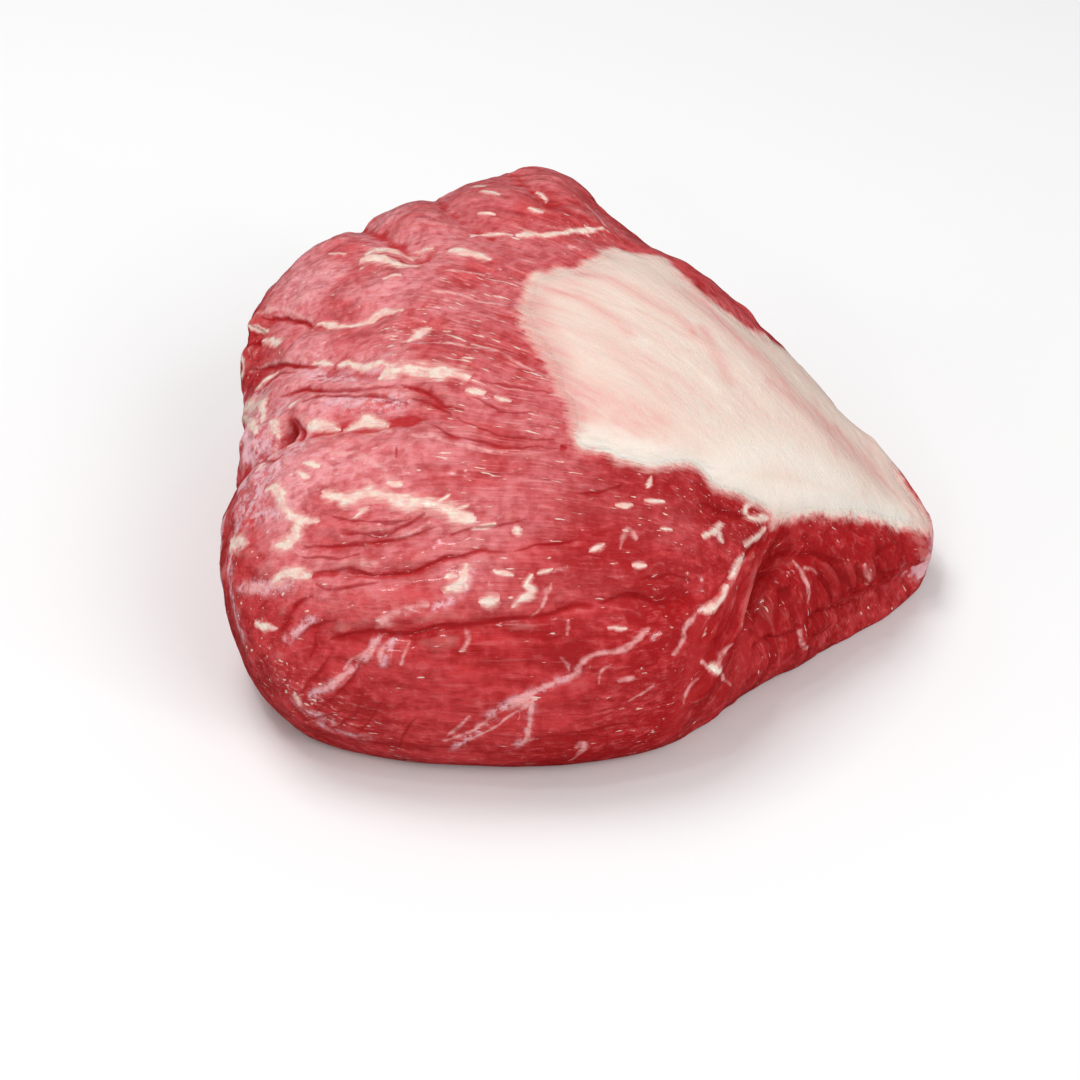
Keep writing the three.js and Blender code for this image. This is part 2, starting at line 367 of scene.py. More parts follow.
# %% Creases, by the pixels of the photograph
# depth and half-width in millimetres, and the pixels that the crease passes through
CREASES = [
    # the two long creases of the front
    (0.65, 1.0, [(311, 574), (342, 569), (368, 574), (399, 570), (424, 566), (444, 558), (477, 552),
                 (511, 551)]),
    (0.5, 0.9, [(511, 551), (545, 543), (583, 535)]),
    (0.65, 1.0, [(326, 641), (340, 635), (370, 631), (404, 633), (438, 625), (472, 625), (500, 619),
                 (539, 615), (567, 607), (598, 603)]),
    (0.8, 1.0, [(598, 603), (617, 596), (636, 594), (654, 600), (689, 601)]),
    # the brow, from the left edge to under the long white seam
    (0.5, 0.9, [(314, 584), (331, 591), (359, 587), (382, 581)]),
    (0.6, 0.9, [(300, 545), (348, 544), (387, 539), (404, 536), (436, 525)]),
    (0.7, 1.0, [(337, 531), (365, 535), (387, 533), (410, 521), (427, 513)]),
    (0.35, 0.8, [(329, 517), (365, 522), (396, 522), (413, 516)]),
    (0.35, 0.8, [(446, 535), (470, 528), (500, 524), (530, 519)]),
    (0.3, 0.8, [(300, 556), (330, 558), (362, 555)]),
    (0.4, 0.9, [(575, 491), (600, 488), (625, 482)]),
    (1.0, 1.6, [(698, 498), (715, 508), (733, 513), (748, 518)]),
    # low on the left of the front
    (0.8, 1.4, [(281, 632), (289, 614), (300, 600), (316, 596)]),
    (0.6, 1.2, [(299, 641), (308, 629), (322, 622), (336, 618)]),
    (0.5, 1.0, [(314, 632), (313, 645), (309, 660)]),
    (0.5, 1.0, [(295, 696), (311, 679), (323, 668), (329, 656)]),
    (0.6, 1.0, [(314, 713), (337, 693), (351, 679), (365, 657)]),
    (0.5, 1.0, [(328, 736), (342, 722), (354, 713), (362, 700)]),
    (0.4, 0.9, [(300, 719), (323, 716), (348, 707)]),
    (0.4, 0.9, [(352, 742), (364, 728), (373, 714), (381, 700)]),
    (0.3, 0.9, [(398, 752), (404, 734), (417, 718)]),
    # the front, right of the middle
    (0.5, 1.0, [(639, 576), (661, 575), (672, 573), (699, 580)]),
    (0.4, 0.9, [(540, 641), (566, 634)]),
    (0.4, 0.9, [(530, 736), (556, 734), (583, 731), (606, 727), (639, 722)]),
    # the cut face
    (3.2, 2.4, [(806, 549), (790, 555), (779, 568), (771, 586), (763, 607), (755, 626), (750, 639)]),
    (1.0, 1.1, [(768, 538), (759, 544), (750, 550), (742, 560)]),
    (1.4, 1.3, [(799, 528), (791, 541), (784, 554)]),
    (1.8, 1.5, [(806, 551), (820, 552), (835, 557), (850, 566)]),
    (1.6, 1.2, [(817, 562), (825, 574), (832, 590), (836, 606)]),
    (1.6, 1.2, [(836, 558), (843, 572), (851, 588), (862, 600)]),
    (1.4, 1.2, [(858, 562), (864, 576), (876, 590)]),
    (1.5, 1.3, [(874, 548), (880, 562), (888, 576), (898, 586)]),
    (1.0, 1.1, [(896, 540), (884, 549), (876, 556)]),
    (1.6, 1.3, [(806, 622), (820, 617), (834, 615), (851, 616), (872, 608)]),
    (1.6, 1.3, [(798, 649), (812, 641), (824, 639), (842, 630)]),
    (1.4, 1.2, [(754, 651), (765, 641), (780, 637), (799, 629)]),
    (1.6, 1.3, [(797, 574), (790, 590), (784, 606), (776, 630)]),
    (1.0, 1.0, [(762, 596), (757, 612), (748, 628), (742, 645)]),
    (1.0, 1.1, [(722, 655), (735, 648), (745, 652)]),
    # the top
    (0.9, 1.3, [(280, 399), (298, 389), (319, 386), (355, 386), (397, 383)]),
    (0.7, 1.2, [(300, 404), (316, 394), (339, 391), (376, 394), (410, 399)]),
    (0.8, 1.3, [(397, 383), (412, 385), (428, 391), (444, 404), (465, 409)]),
    (0.4, 1.0, [(411, 395), (430, 401), (452, 415)]),
    (0.3, 0.8, [(425, 422), (447, 431), (470, 439), (495, 443), (520, 444), (560, 444)]),
    (0.3, 0.8, [(454, 415), (491, 430), (530, 434), (558, 435)]),
    (0.3, 0.8, [(478, 381), (500, 384), (530, 388), (550, 392)]),
    (0.3, 0.8, [(470, 395), (500, 407), (540, 413)]),
    (0.6, 1.1, [(384, 250), (396, 252), (410, 257)]),
    (0.2, 0.6, [(395, 444), (396, 457)]),
    (0.6, 0.9, [(561, 441), (568, 443)]),
    # the left end, with its open pocket
    (4.4, 2.6, [(289, 418), (284, 429), (277, 441)]),
    (1.0, 1.2, [(292, 416), (297, 424), (299, 434)]),
    (1.0, 1.1, [(247, 322), (262, 330), (259, 342), (249, 347)]),
    (0.8, 1.1, [(252, 371), (269, 365), (290, 363), (316, 362)]),
    (0.7, 1.1, [(264, 390), (271, 379), (282, 373), (297, 370)]),
    (0.8, 1.0, [(262, 318), (286, 315), (311, 320)]),
    (0.6, 1.0, [(256, 452), (266, 459), (282, 456)]),
    (1.0, 1.2, [(258, 343), (262, 346)]),
]


# the bearings that the camera can't see, from the right-hand point round the back, in radians
FAR_SIDE = (0.0, 2.4)
FAR_LINE_STEPS = 40
# how far a far line bows, drifts and ripples along the section, and how many radians of ripple it has
FAR_BOW, FAR_DRIFT, FAR_RIPPLE = 0.8, 1.4, 0.15
FAR_RIPPLE_TURNS = (6, 14)


def far_lines(count, places_between, spans_between, seed):
    """Lines for the sides that the photograph doesn't show. Each starts at a random bearing and place
    along the section, spans some bearings, and rises and falls on its way."""
    random = np.random.default_rng(seed)
    lines = []
    for _ in range(count):
        start, height = random.uniform(*FAR_SIDE), random.uniform(*places_between)
        span = random.uniform(*spans_between)
        share = np.linspace(0, 1, FAR_LINE_STEPS)
        rise = random.normal(0, FAR_BOW) * np.sin(np.pi * share) + random.normal(0, FAR_DRIFT) * share
        ripple = random.normal(0, FAR_RIPPLE) * np.sin(share * random.uniform(*FAR_RIPPLE_TURNS))
        lines.append(skin(start + span * share, height + rise + ripple))
    return lines


far_creases = far_lines(24, (5, 10.5), (0.2, 0.55), seed=5)
crease_lines = drawn(CREASES) + [(0.8, 1.3, line) for line in far_creases]
fold_lines = [(depth, width, smooth_line(path)) for depth, width, path in FOLDS]
print(len(crease_lines), "creases,", len(fold_lines), "folds")

# %% [markdown]
# ## Seams and flecks of fat
# Fat runs through the lean in seams, flecks and thin pale veins. The long ones have a place of their
# own in the photograph, so they are written by their pixels. The finest flecks are left to the material.

# %% Seams of white fat, by the pixels of the photograph
# half-width in millimetres, and the pixels that the middle of the seam passes through
SEAMS = [
    # the brow: one long seam and its spurs
    (1.5, [(321, 494), (345, 499), (362, 496), (374, 492), (386, 496), (404, 503), (424, 504), (442, 508),
           (454, 516), (465, 520), (476, 517)]),
    (0.6, [(432, 506), (443, 501), (451, 494)]),
    (0.5, [(453, 512), (464, 509), (470, 505)]),
    (0.6, [(353, 519), (370, 507)]),
    (1.1, [(267, 493), (280, 490), (285, 504), (294, 516), (303, 523), (320, 524)]),
    (1.1, [(299, 519), (297, 530), (294, 541), (287, 546), (272, 544)]),
    (1.4, [(337, 423), (354, 416), (366, 413), (386, 417)]),
    (1.3, [(301, 425), (316, 419), (336, 421)]),
    (0.9, [(386, 480), (402, 485)]),
    (0.8, [(303, 466), (323, 466)]),
    (0.6, [(297, 474), (314, 479)]),
    # the top, from the back corner forward
    (1.1, [(479, 194), (502, 197)]),
    (1.0, [(474, 186), (486, 188)]),
    (0.7, [(477, 211), (496, 214)]),
    (1.0, [(528, 207), (544, 212)]),
    (0.7, [(538, 184), (548, 197)]),
    (1.5, [(515, 232), (526, 231), (538, 231)]),
    (0.8, [(533, 232), (561, 232), (573, 229), (604, 231)]),
    (0.6, [(470, 232), (480, 226), (498, 228), (514, 232)]),
    (1.5, [(358, 258), (372, 255), (384, 257), (400, 261), (419, 267)]),
    (1.0, [(364, 254), (375, 245), (385, 240), (398, 243), (412, 247)]),
    (0.7, [(413, 241), (433, 242)]),
    (1.1, [(446, 248), (470, 251), (493, 258)]),
    (0.8, [(382, 282), (403, 275)]),
    (0.6, [(328, 255), (347, 254)]),
    (0.8, [(312, 318), (332, 321), (348, 321), (363, 316), (377, 309), (388, 308), (404, 311)]),
    (1.4, [(406, 342), (418, 333), (431, 325)]),
    (0.9, [(333, 361), (346, 359), (358, 363), (374, 361), (388, 365)]),
    (0.7, [(309, 360), (332, 361)]),
    (1.9, [(376, 373), (393, 370), (408, 367), (424, 371), (440, 373), (454, 374), (472, 380)]),
    (0.8, [(464, 391), (486, 392)]),
    (0.7, [(493, 393), (513, 398)]),
    # the left end
    (0.9, [(263, 341), (283, 343)]),
    (0.7, [(258, 392), (268, 380), (278, 369)]),
    (1.3, [(270, 421), (274, 431)]),
    (1.6, [(252, 408), (270, 405)]),
    (1.0, [(250, 412), (258, 434)]),
    (0.8, [(262, 402), (266, 414), (262, 426)]),
    (0.7, [(256, 472), (264, 458), (273, 448)]),
    (0.6, [(244, 330), (258, 328), (268, 332)]),
    (0.7, [(248, 352), (251, 366), (247, 380)]),
    (0.7, [(244, 404), (245, 424), (248, 440)]),
    (0.8, [(293, 436), (281, 443)]),
    (1.0, [(289, 408), (302, 397)]),
    (1.2, [(312, 576), (297, 573), (284, 577), (270, 584)]),
    (1.6, [(230, 543), (252, 545)]),
    (0.7, [(254, 624), (277, 628)]),
    (0.9, [(298, 691), (301, 704)]),
    # the front
    (1.2, [(468, 562), (465, 573), (463, 582), (452, 589), (443, 596)]),
    (0.7, [(446, 578), (459, 576)]),
    (0.9, [(465, 582), (467, 590)]),
    (1.1, [(479, 602), (488, 600), (500, 597)]),
    (0.6, [(493, 569), (504, 573), (514, 575)]),
    (0.7, [(533, 573), (526, 584), (533, 591), (523, 598), (513, 608)]),
    (0.6, [(536, 573), (552, 569)]),
    (0.9, [(512, 530), (522, 528)]),
    (0.6, [(470, 529), (484, 526), (497, 522)]),
    (0.6, [(590, 551), (608, 543)]),
    (0.6, [(632, 565), (650, 563)]),
    (0.5, [(615, 504), (634, 504)]),
    (0.5, [(643, 498), (666, 500)]),
    (0.5, [(652, 474), (647, 487)]),
    (0.4, [(660, 527), (676, 527)]),
    (0.5, [(607, 628), (627, 627)]),
    # the cut face: a broken seam, a star and the loop under the fat
    (0.8, [(768, 529), (757, 539), (742, 546)]),
    (0.8, [(745, 551), (737, 565), (728, 581)]),
    (0.8, [(727, 585), (718, 600), (711, 608), (700, 612)]),
    (0.9, [(723, 522), (716, 529), (703, 536)]),
    (0.7, [(715, 528), (726, 542)]),
    (0.7, [(754, 502), (744, 508), (747, 518), (757, 518), (770, 517)]),
    (0.9, [(704, 666), (717, 669)]),
]

# %% Pale veins, by the pixels of the photograph
# half-width in millimetres, and the pixels that the middle of the vein passes through
VEINS = [
    # the top
    (0.5, [(262, 316), (272, 309), (284, 308), (297, 311), (310, 319)]),
    (0.5, [(252, 373), (267, 364), (284, 361), (294, 360)]),
    (0.4, [(300, 397), (308, 390), (321, 386)]),
    (0.5, [(324, 453), (340, 451), (357, 451), (367, 460), (383, 469), (389, 481)]),
    (0.5, [(367, 422), (378, 421), (392, 427)]),
    (0.4, [(428, 291), (458, 293), (482, 298), (517, 303)]),
    (0.4, [(421, 342), (447, 343), (470, 345), (495, 350), (520, 363), (551, 378)]),
    (0.4, [(406, 432), (436, 437), (478, 448), (508, 450)]),
    (0.4, [(443, 269), (470, 270), (494, 274)]),
    (0.5, [(583, 203), (594, 214), (604, 230)]),
    (0.5, [(392, 539), (406, 534), (418, 527), (431, 521)]),
    (0.5, [(522, 256), (537, 261)]),
    (0.5, [(568, 243), (581, 252)]),
    # the broad pale band low on the front, and its branches
    (0.6, [(582, 668), (576, 674), (560, 682), (539, 691), (519, 702), (504, 709)]),
    (0.4, [(506, 708), (491, 716), (479, 725), (471, 733), (457, 737), (441, 741)]),
    (0.3, [(540, 698), (520, 708), (500, 722), (486, 732), (470, 742)]),
    (0.4, [(534, 697), (532, 708), (531, 722), (527, 736), (522, 744)]),
    (0.5, [(536, 737), (524, 741), (510, 745)]),
    (0.5, [(577, 674), (584, 662), (600, 654), (622, 649), (639, 638), (651, 627)]),
    (0.4, [(572, 673), (568, 664), (558, 656)]),
    # the front
    (0.4, [(549, 582), (543, 603), (530, 619)]),
    (0.5, [(552, 572), (560, 569), (568, 565)]),
    (0.5, [(640, 538), (628, 528), (621, 548)]),
    (0.5, [(464, 626), (467, 640), (459, 654)]),
    (0.4, [(570, 618), (568, 637)]),
    (0.4, [(601, 687), (602, 674), (613, 665)]),
    (0.5, [(618, 681), (636, 675)]),
    (0.4, [(699, 675), (689, 686), (683, 703)]),
    (0.4, [(626, 702), (641, 693), (655, 683)]),
    (0.6, [(575, 748), (582, 743), (581, 752), (567, 762)]),
    (0.5, [(702, 611), (695, 618), (685, 628), (682, 641), (671, 656)]),
    # the left side of the front
    # a painted highlight on a wet ridge, drawn as a pale vein
    (0.8, [(375, 631), (386, 622), (396, 615), (414, 608), (430, 604)]),
    (0.6, [(360, 567), (379, 562)]),
    (0.4, [(316, 689), (336, 680), (351, 671), (364, 661), (372, 648), (377, 638)]),
    (0.4, [(342, 672), (352, 660), (366, 652), (374, 644)]),
    (0.5, [(380, 664), (382, 650), (388, 640)]),
    (0.3, [(401, 667), (405, 652), (409, 640)]),
    (0.4, [(446, 738), (462, 724), (472, 716)]),
    (0.8, [(286, 585), (262, 587), (244, 588)]),
    # the cut face
    (0.5, [(800, 558), (805, 576), (809, 591), (808, 605)]),
    (0.4, [(805, 569), (815, 570), (826, 576)]),
    (0.5, [(863, 562), (867, 576), (871, 588)]),
    (0.5, [(798, 628), (801, 643), (808, 649)]),
    (0.5, [(712, 667), (719, 652), (729, 642)]),
    (0.4, [(713, 668), (722, 675), (732, 686)]),
    (0.4, [(708, 667), (700, 659)]),
    # a painted highlight on a wet ridge, drawn as a pale vein
    (0.9, [(738, 621), (741, 632), (745, 643)]),
]

far_seams = [(0.8, line) for line in far_lines(18, (5.5, 12), (0.05, 0.2), seed=11)]
far_veins = [(0.4, line) for line in far_lines(24, (5, 12), (0.1, 0.3), seed=12)]
seam_lines = drawn(SEAMS) + far_seams
vein_lines = drawn(VEINS) + far_veins
print(len(seam_lines), "seams,", len(vein_lines), "veins")

# %% [markdown]
# ## The edge of the fat cap
# The fat's border is one closed line. The half that shows is written by its pixels. The other half
# follows the rim on the far side, a little in from it. The distance to this line, positive on the fat,
# shapes both pieces and colours both materials, so the two meet without a gap.

# %% Border of the fat
FAT_BORDER = [
    (664, 262), (650, 258), (627, 251), (612, 250), (601, 252), (599, 258), (584, 263), (578, 269),
    (555, 267), (549, 272), (538, 271), (529, 277), (525, 290), (520, 307), (523, 320), (529, 332),
    (538, 347), (549, 365), (555, 378), (560, 393), (569, 402), (572, 416), (574, 432), (578, 442),
    (589, 447), (606, 450), (618, 459), (633, 462), (652, 467), (673, 465), (690, 466), (701, 472),
    (710, 484), (719, 490), (734, 495), (748, 501), (760, 507), (770, 514), (774, 524), (781, 519),
    (794, 517), (810, 513), (833, 515), (852, 516), (874, 521), (890, 525), (904, 528), (915, 531),
    (924, 534),
]
# bearing in degrees, and the share of the way from the crown to the rim
FAR_BORDER = np.array([
    [-7, 0.985], [-4, 0.962], [0, 0.948], [4, 0.972], [8, 0.965], [11, 0.935], [14, 0.898], [17, 0.925],
    [20, 0.935], [25, 0.925], [29, 0.91],
])
# the part of the border behind which the meat falls away
FAT_BORDER_AT_HORIZON = [(763, 337), (755, 334), (738, 322), (719, 309), (701, 296), (685, 282), (670, 268)]
STEPS_PER_BORDER_CORNER = 6


def over(bearing, out):
    """The point of the top sheet at a share out from the crown."""
    rim = rim_at(bearing)
    square = rim[4]
    up = np.maximum(1 - out**square, 0) ** (1 / square)
    return section_point(rim, out, upper_height(rim, out, up))


far_border = over(np.radians(FAR_BORDER[:, 0]), FAR_BORDER[:, 1])
border_corners = np.concatenate([on_meat(FAT_BORDER), far_border, on_meat(FAT_BORDER_AT_HORIZON)])
border_steps = STEPS_PER_BORDER_CORNER * len(border_corners)
border = through(border_corners, np.arange(border_steps) / border_steps * len(border_corners))


def inside(points, outline):
    """Which points lie inside a closed outline, seen from above: those from which a line to the right
    crosses it an odd number of times."""
    odd = np.zeros(len(points), bool)
    for a, b in zip(outline, np.roll(outline, -1, axis=0)):
        spans = (points[:, 1] < a[1]) != (points[:, 1] < b[1])
        crossing = a[0] + (points[:, 1] - a[1]) * (b[0] - a[0]) / (b[1] - a[1] + 1e-12)
        odd ^= spans & (points[:, 0] < crossing)
    return odd


def into_fat(points, on_top):
    """The distance from the fat's border: positive on the fat, negative on the lean."""
    nearest = np.full(len(points), np.inf)
    for a, b in zip(border, np.roll(border, -1, axis=0)):
        edge = b - a
        share = np.clip(((points - a) @ edge) / (edge @ edge), 0, 1)
        nearest = np.minimum(nearest, np.linalg.norm(points - a - share[:, None] * edge, axis=1))
    return np.where(inside(points, border) & on_top, nearest, -nearest)


fat_depth = into_fat(plain, place > FLAT + ROLL)
print("border", len(border), "steps, fat reaches", fat_depth.max().round(1), "mm in from it")

# %% [markdown]
# ## Which way the fibres run
# Muscle fibres give the meat its look, so every point gets coordinates that follow them: the first runs
# along the fibres. Most run from left to right and bend towards the front as they come up to the fat.
# At the right-hand end the knife went through, and two more muscles show, each with its own direction.

# %% Grain
FIBRE_BEND = 0.75
# the x where the bend begins, and over what length it comes in
FIBRE_BEND_FROM, FIBRE_BEND_OVER = -42.0, 12
# between these two y the bend comes in from the front, and between the next two it halves
FIBRE_BEND_FRONT, FIBRE_BEND_BACK = (-75, -20), (0, 60)
# how near a jump in the grain the coordinates count as broken, and how far off as smooth
NEAR_JUMP = (0.7, 3)
# where the cut face and the muscle beside it begin: height in millimetres and bearing in degrees
CUT_FACE_FROM = np.array([(0, 299), (23.7, 303), (34.5, 308.8), (36.7, 318.8), (50, 323)])
SIDE_MUSCLE_FROM = np.array([(0, 286), (22, 288), (39.6, 291.8), (42.7, 302), (44.7, 312), (50, 318)])
CUT_FACE_TO = 351
# how far the cut muscles' own fibres run on under the fat
CUT_UNDER_FAT = 6.0
CUT_FACE_FIBRES = np.array([0.20, 0.16, -0.97])
SIDE_MUSCLE_FIBRES = np.array([-0.52, -0.68, -0.51])


def step_up(value, low, high):
    """0 below low, 1 above high, and 3 t t - 2 t t t between them."""
    t = np.clip((value - low) / (high - low), 0, 1)
    return t * t * (3 - 2 * t)


def along_fibres(points, fibres):
    """Coordinates along a straight direction and square to it, in two more directions."""
    flat = np.cross(fibres, (0, 0, 1.0))
    flat /= np.linalg.norm(flat)
    return points @ np.stack([fibres, flat, np.cross(fibres, flat)], -1)


def grain(points, depth_in_fat):
    """The fibre coordinates, 1 on the two cut muscles, and 1 where the coordinates run on smoothly or 0
    where two muscles meet and they jump."""
    x, y, z = points.T
    bent = 0.5 * (x - FIBRE_BEND_FROM + np.hypot(x - FIBRE_BEND_FROM, FIBRE_BEND_OVER))
    here = step_up(y, *FIBRE_BEND_FRONT) * (1 - 0.5 * step_up(y, *FIBRE_BEND_BACK))
    threads = np.stack([x, y + FIBRE_BEND * bent * here, z], -1)
    turn = np.degrees(np.arctan2(y - CROWN[1], x - CROWN[0])) % 360
    side_from, cut_from = np.interp(z, *SIDE_MUSCLE_FROM.T), np.interp(z, *CUT_FACE_FROM.T)
    side_muscle = (turn > side_from) & (turn < CUT_FACE_TO) & (depth_in_fat < CUT_UNDER_FAT)
    cut_face = side_muscle & (turn > cut_from)
    threads[side_muscle] = along_fibres(points[side_muscle], SIDE_MUSCLE_FIBRES)
    threads[cut_face] = along_fibres(points[cut_face], CUT_FACE_FIBRES)
    apart = np.min([np.abs(turn - side_from), np.abs(turn - cut_from), np.abs(turn - CUT_FACE_TO)], 0)
    smooth = step_up(apart, *NEAR_JUMP) * step_up(np.abs(depth_in_fat - CUT_UNDER_FAT), *NEAR_JUMP)
    return threads, side_muscle.astype(float), smooth


lean_grain, on_cut, grain_smooth = grain(plain, fat_depth)
print("cut muscles on", f"{on_cut.mean():.1%} of the points")

# %% [markdown]
# ## How far the skin stands out
# The relief is a sum: two long swells, lumps of four sizes, bundles of fibre, small rises over the fat
# seams, and a trough for every fold and crease. It is a function of the point alone, so the lean and
# the fat cap get the same relief where they meet.

# %% Relief
SWELL_HEIGHT = 0.6
SWELL_LENGTHS = (53, 41, 37)
# size of the lumps and their height
LUMPS = ((26, 0.75), (11, 0.45), (6.5, 0.4), (3.4, 0.2))
# length and thickness of the bundles of fibre, and their height
BUNDLES = ((34, 6.5, 0.3), (17, 3.4, 0.22))
CUT_BUNDLES = ((30, 9, 1.0), (16, 4.5, 0.8), (12, 2.8, 0.5))
# the sharp valleys between bundles lie under the skin by this share of the bundles' height
VALLEY = 0.5
# the share of the lumps and bundles that the fat cap hides, and how far in from its border
HIDDEN_BY_FAT, HIDDEN_OVER = 0.7, 8
# where the bundles of the cut muscles end, in millimetres into the fat
CUT_BUNDLES_END = (-2, 3)
# how round the floors of folds and creases are, and how many half-widths they reach
FOLD_POWER, FOLD_REACH = 1.6, 3
CREASE_POWER, CREASE_REACH = 1.4, 8
# how far the flesh beside a crease stands over it, as a share of its depth, and how steeply
OVERHANG, OVERHANG_STEEPNESS = 0.5, 1.8
SEAM_RISE, SEAM_REACH = 0.25, 3
# over what length creases and seams come to a point, and how blunt the point is
CREASE_TAPER, SEAM_TAPER = 9.0, 4.0
POINT_POWER = 0.6


def fullness(line, along, taper):
    """How full a line is: 1 along its middle, coming to a point over the taper at both of its ends."""
    length = np.linalg.norm(np.diff(line, axis=0), axis=1).sum()
    share = min(0.5, taper / length)
    return np.clip(np.minimum(along, 1 - along) / share, 0, 1) ** POINT_POWER


def relief(points, facing, depth_in_fat):
    """How far each point stands out from the plain skin, in millimetres. A fold is depth times
    exp(-(d / width) ** power). A crease is such a groove, with the flesh raised on its left."""
    kx, ky, kz = (2 * np.pi / length for length in SWELL_LENGTHS)
    x, y, z = points.T
    total = SWELL_HEIGHT * 0.5 * (np.sin(x * kx + z * kz) + np.sin(y * ky - z * kz))
    on_lean = 1 - HIDDEN_BY_FAT * step_up(depth_in_fat, 0, HIDDEN_OVER)
    for size, height in LUMPS:
        total += height * on_lean * noise(points, size)
    threads, on_cut, smooth = grain(points, depth_in_fat)
    cut_open = on_cut * (1 - step_up(depth_in_fat, *CUT_BUNDLES_END))
    for kinds, where in ((BUNDLES, 1 - on_cut), (CUT_BUNDLES, cut_open)):
        for length, thickness, height in kinds:
            backs = 2 * np.abs(noise(threads, (length, thickness, thickness), seed=1)) - VALLEY
            total += height * where * on_lean * smooth * backs
    for depth, width, line in fold_lines:
        near, distance, _ = measure(points, facing, line, FOLD_REACH * width)
        total[near] -= depth * np.exp(-((np.abs(distance) / width) ** FOLD_POWER))
    for depth, width, line in crease_lines:
        near, distance, along = measure(points, facing, line, CREASE_REACH * width)
        apart = distance / width
        overhang = OVERHANG * np.tanh(OVERHANG_STEEPNESS * apart) * np.exp(-np.abs(apart) / 2)
        groove = np.exp(-(np.abs(apart) ** CREASE_POWER))
        total[near] += depth * fullness(line, along, CREASE_TAPER) * (overhang - groove)
    for width, line in seam_lines:
        near, distance, along = measure(points, facing, line, SEAM_REACH * width)
        total[near] += SEAM_RISE * fullness(line, along, SEAM_TAPER) * np.exp(-((distance / width) ** 2))
    return total


lean_relief = relief(plain, normals, fat_depth)
print("relief from", lean_relief.min().round(1), "to", lean_relief.max().round(1), "mm")

# %% [markdown]
# ## The lean
# The relief is added square to the skin and fades out at the foot, so the underside stays flat. Under
# the fat cap the lean is hollowed to a bed that the cap fills.

# %% Lean mesh
BED_DEPTH = 4.2
BED_SLOPE = 7.0
BED_FROM = 4.0


def bed(depth_in_fat):
    """How deep the lean is hollowed under the fat."""
    return BED_DEPTH * step_up(depth_in_fat, BED_FROM, BED_FROM + BED_SLOPE)


def new_piece(name, points, faces):
    """A smooth-shaded object at the origin, with its place in its mesh. Points are in millimetres."""
    mesh = bpy.data.meshes.new(name)
    mesh.from_pydata((points * MM).tolist(), [], faces)
    mesh.polygons.foreach_set("use_smooth", np.ones(len(faces), bool))
    piece = bpy.data.objects.new(name, mesh)
    bpy.context.scene.collection.objects.link(piece)
    print(name, len(points), "points,", sum(len(face) - 2 for face in faces), "triangles")
    return piece


def keep(piece, name, values):
    """Keeps a number, or three numbers, for each point of a piece, for its material to read."""
    kind, field = ("FLOAT", "value") if values.ndim == 1 else ("FLOAT_VECTOR", "vector")
    made = piece.data.attributes.new(name, kind, "POINT")
    made.data.foreach_set(field, values.astype(np.float32).ravel())


held = np.clip((place - FLAT) / ROLL, 0, 1)
lean_points = plain + normals * ((lean_relief - bed(fat_depth)) * held)[:, None]
lean = new_piece("lean_muscle", lean_points, lean_faces)

# %% [markdown]
# ## The fat cap
# The cap is a lens. Its outline is the fat's border drawn in a little, its underside lies in the bed of
# the lean, and its top rises out of the lean at the edge and then stands just proud of it. Along the
# front the layer is thick, so it has a rounded lip there.

# %% Fat mesh
FAT_MIDDLE = np.array([30.0, -12.0])
DRAWN_IN = 1.0
CAP_COLUMNS = 400
CAP_ROWS_BELOW = 24
CAP_ROWS_ABOVE = 90
# how sharply the rows crowd towards the edge
ROW_CROWDING = 1.5
EDGE_SUNK = 0.12
# how far in from the border the cap begins to rise, and where it stands proud
EDGE_RISE = (0.6, 4.6)
PROUD = 0.12
FRONT_LIP = 0.8
# how far in front of the origin the lip begins, and where it is full
FRONT_LIP_FROM = (30, 42)
# the share of the way to the rim that no point of the cap passes
OUTERMOST = 0.985
# nearer the crown than this share, the direction of the top sheet is taken from a little further out
CROWN_SHARE = 0.02
# half the distance between the points from which that direction is taken
OVER_STEP = 0.004


def cap_place(turn, row):
    """The bearing and the share out from the crown of a point of the cap. turn counts round the
    border. row is 0 under the middle, 1 at the edge and 2 over the middle, and crowds to the edge."""
    edge = through(border[:, :2], turn)
    spoke = edge - FAT_MIDDLE
    reach = np.linalg.norm(spoke, axis=1)
    share = (1 - np.abs(row - 1) ** ROW_CROWDING) * (1 - DRAWN_IN / reach)
    x, y = (FAT_MIDDLE + spoke * share[:, None] - CROWN).T
    rim = rim_at(np.arctan2(y, x))
    out = np.hypot(x, y) / np.hypot(rim[0] - CROWN[0], rim[1] - CROWN[1])
    return np.arctan2(y, x), np.minimum(out, OUTERMOST)


cap_rows = np.r_[np.linspace(0, 1, CAP_ROWS_BELOW, endpoint=False), np.linspace(1, 2, CAP_ROWS_ABOVE)]
cap_turns = np.arange(CAP_COLUMNS) / CAP_COLUMNS * len(border)
cap_row, cap_turn = globe_points(cap_rows, cap_turns)
cap_bearing, cap_out = cap_place(cap_turn, cap_row)
cap_plain = over(cap_bearing, cap_out)
cap_normals = -outward(over, cap_bearing, np.maximum(cap_out, CROWN_SHARE), OVER_STEP)
cap_depth = into_fat(cap_plain, np.ones(len(cap_plain), bool))
cap_relief = relief(cap_plain, cap_normals, cap_depth)
at_front = step_up(-cap_plain[:, 1], *FRONT_LIP_FROM)
risen = step_up(cap_depth, *EDGE_RISE)
proud = (PROUD + FRONT_LIP * at_front + EDGE_SUNK) * risen - EDGE_SUNK
sunk = -EDGE_SUNK - (BED_DEPTH - 2 * EDGE_SUNK) * bed(cap_depth) / BED_DEPTH
cap_height = np.where(cap_row > 1, proud, sunk)
cap_points = cap_plain + cap_normals * (cap_relief + cap_height)[:, None]
cap = new_piece("fat_layer", cap_points, globe_faces(len(cap_rows), CAP_COLUMNS))
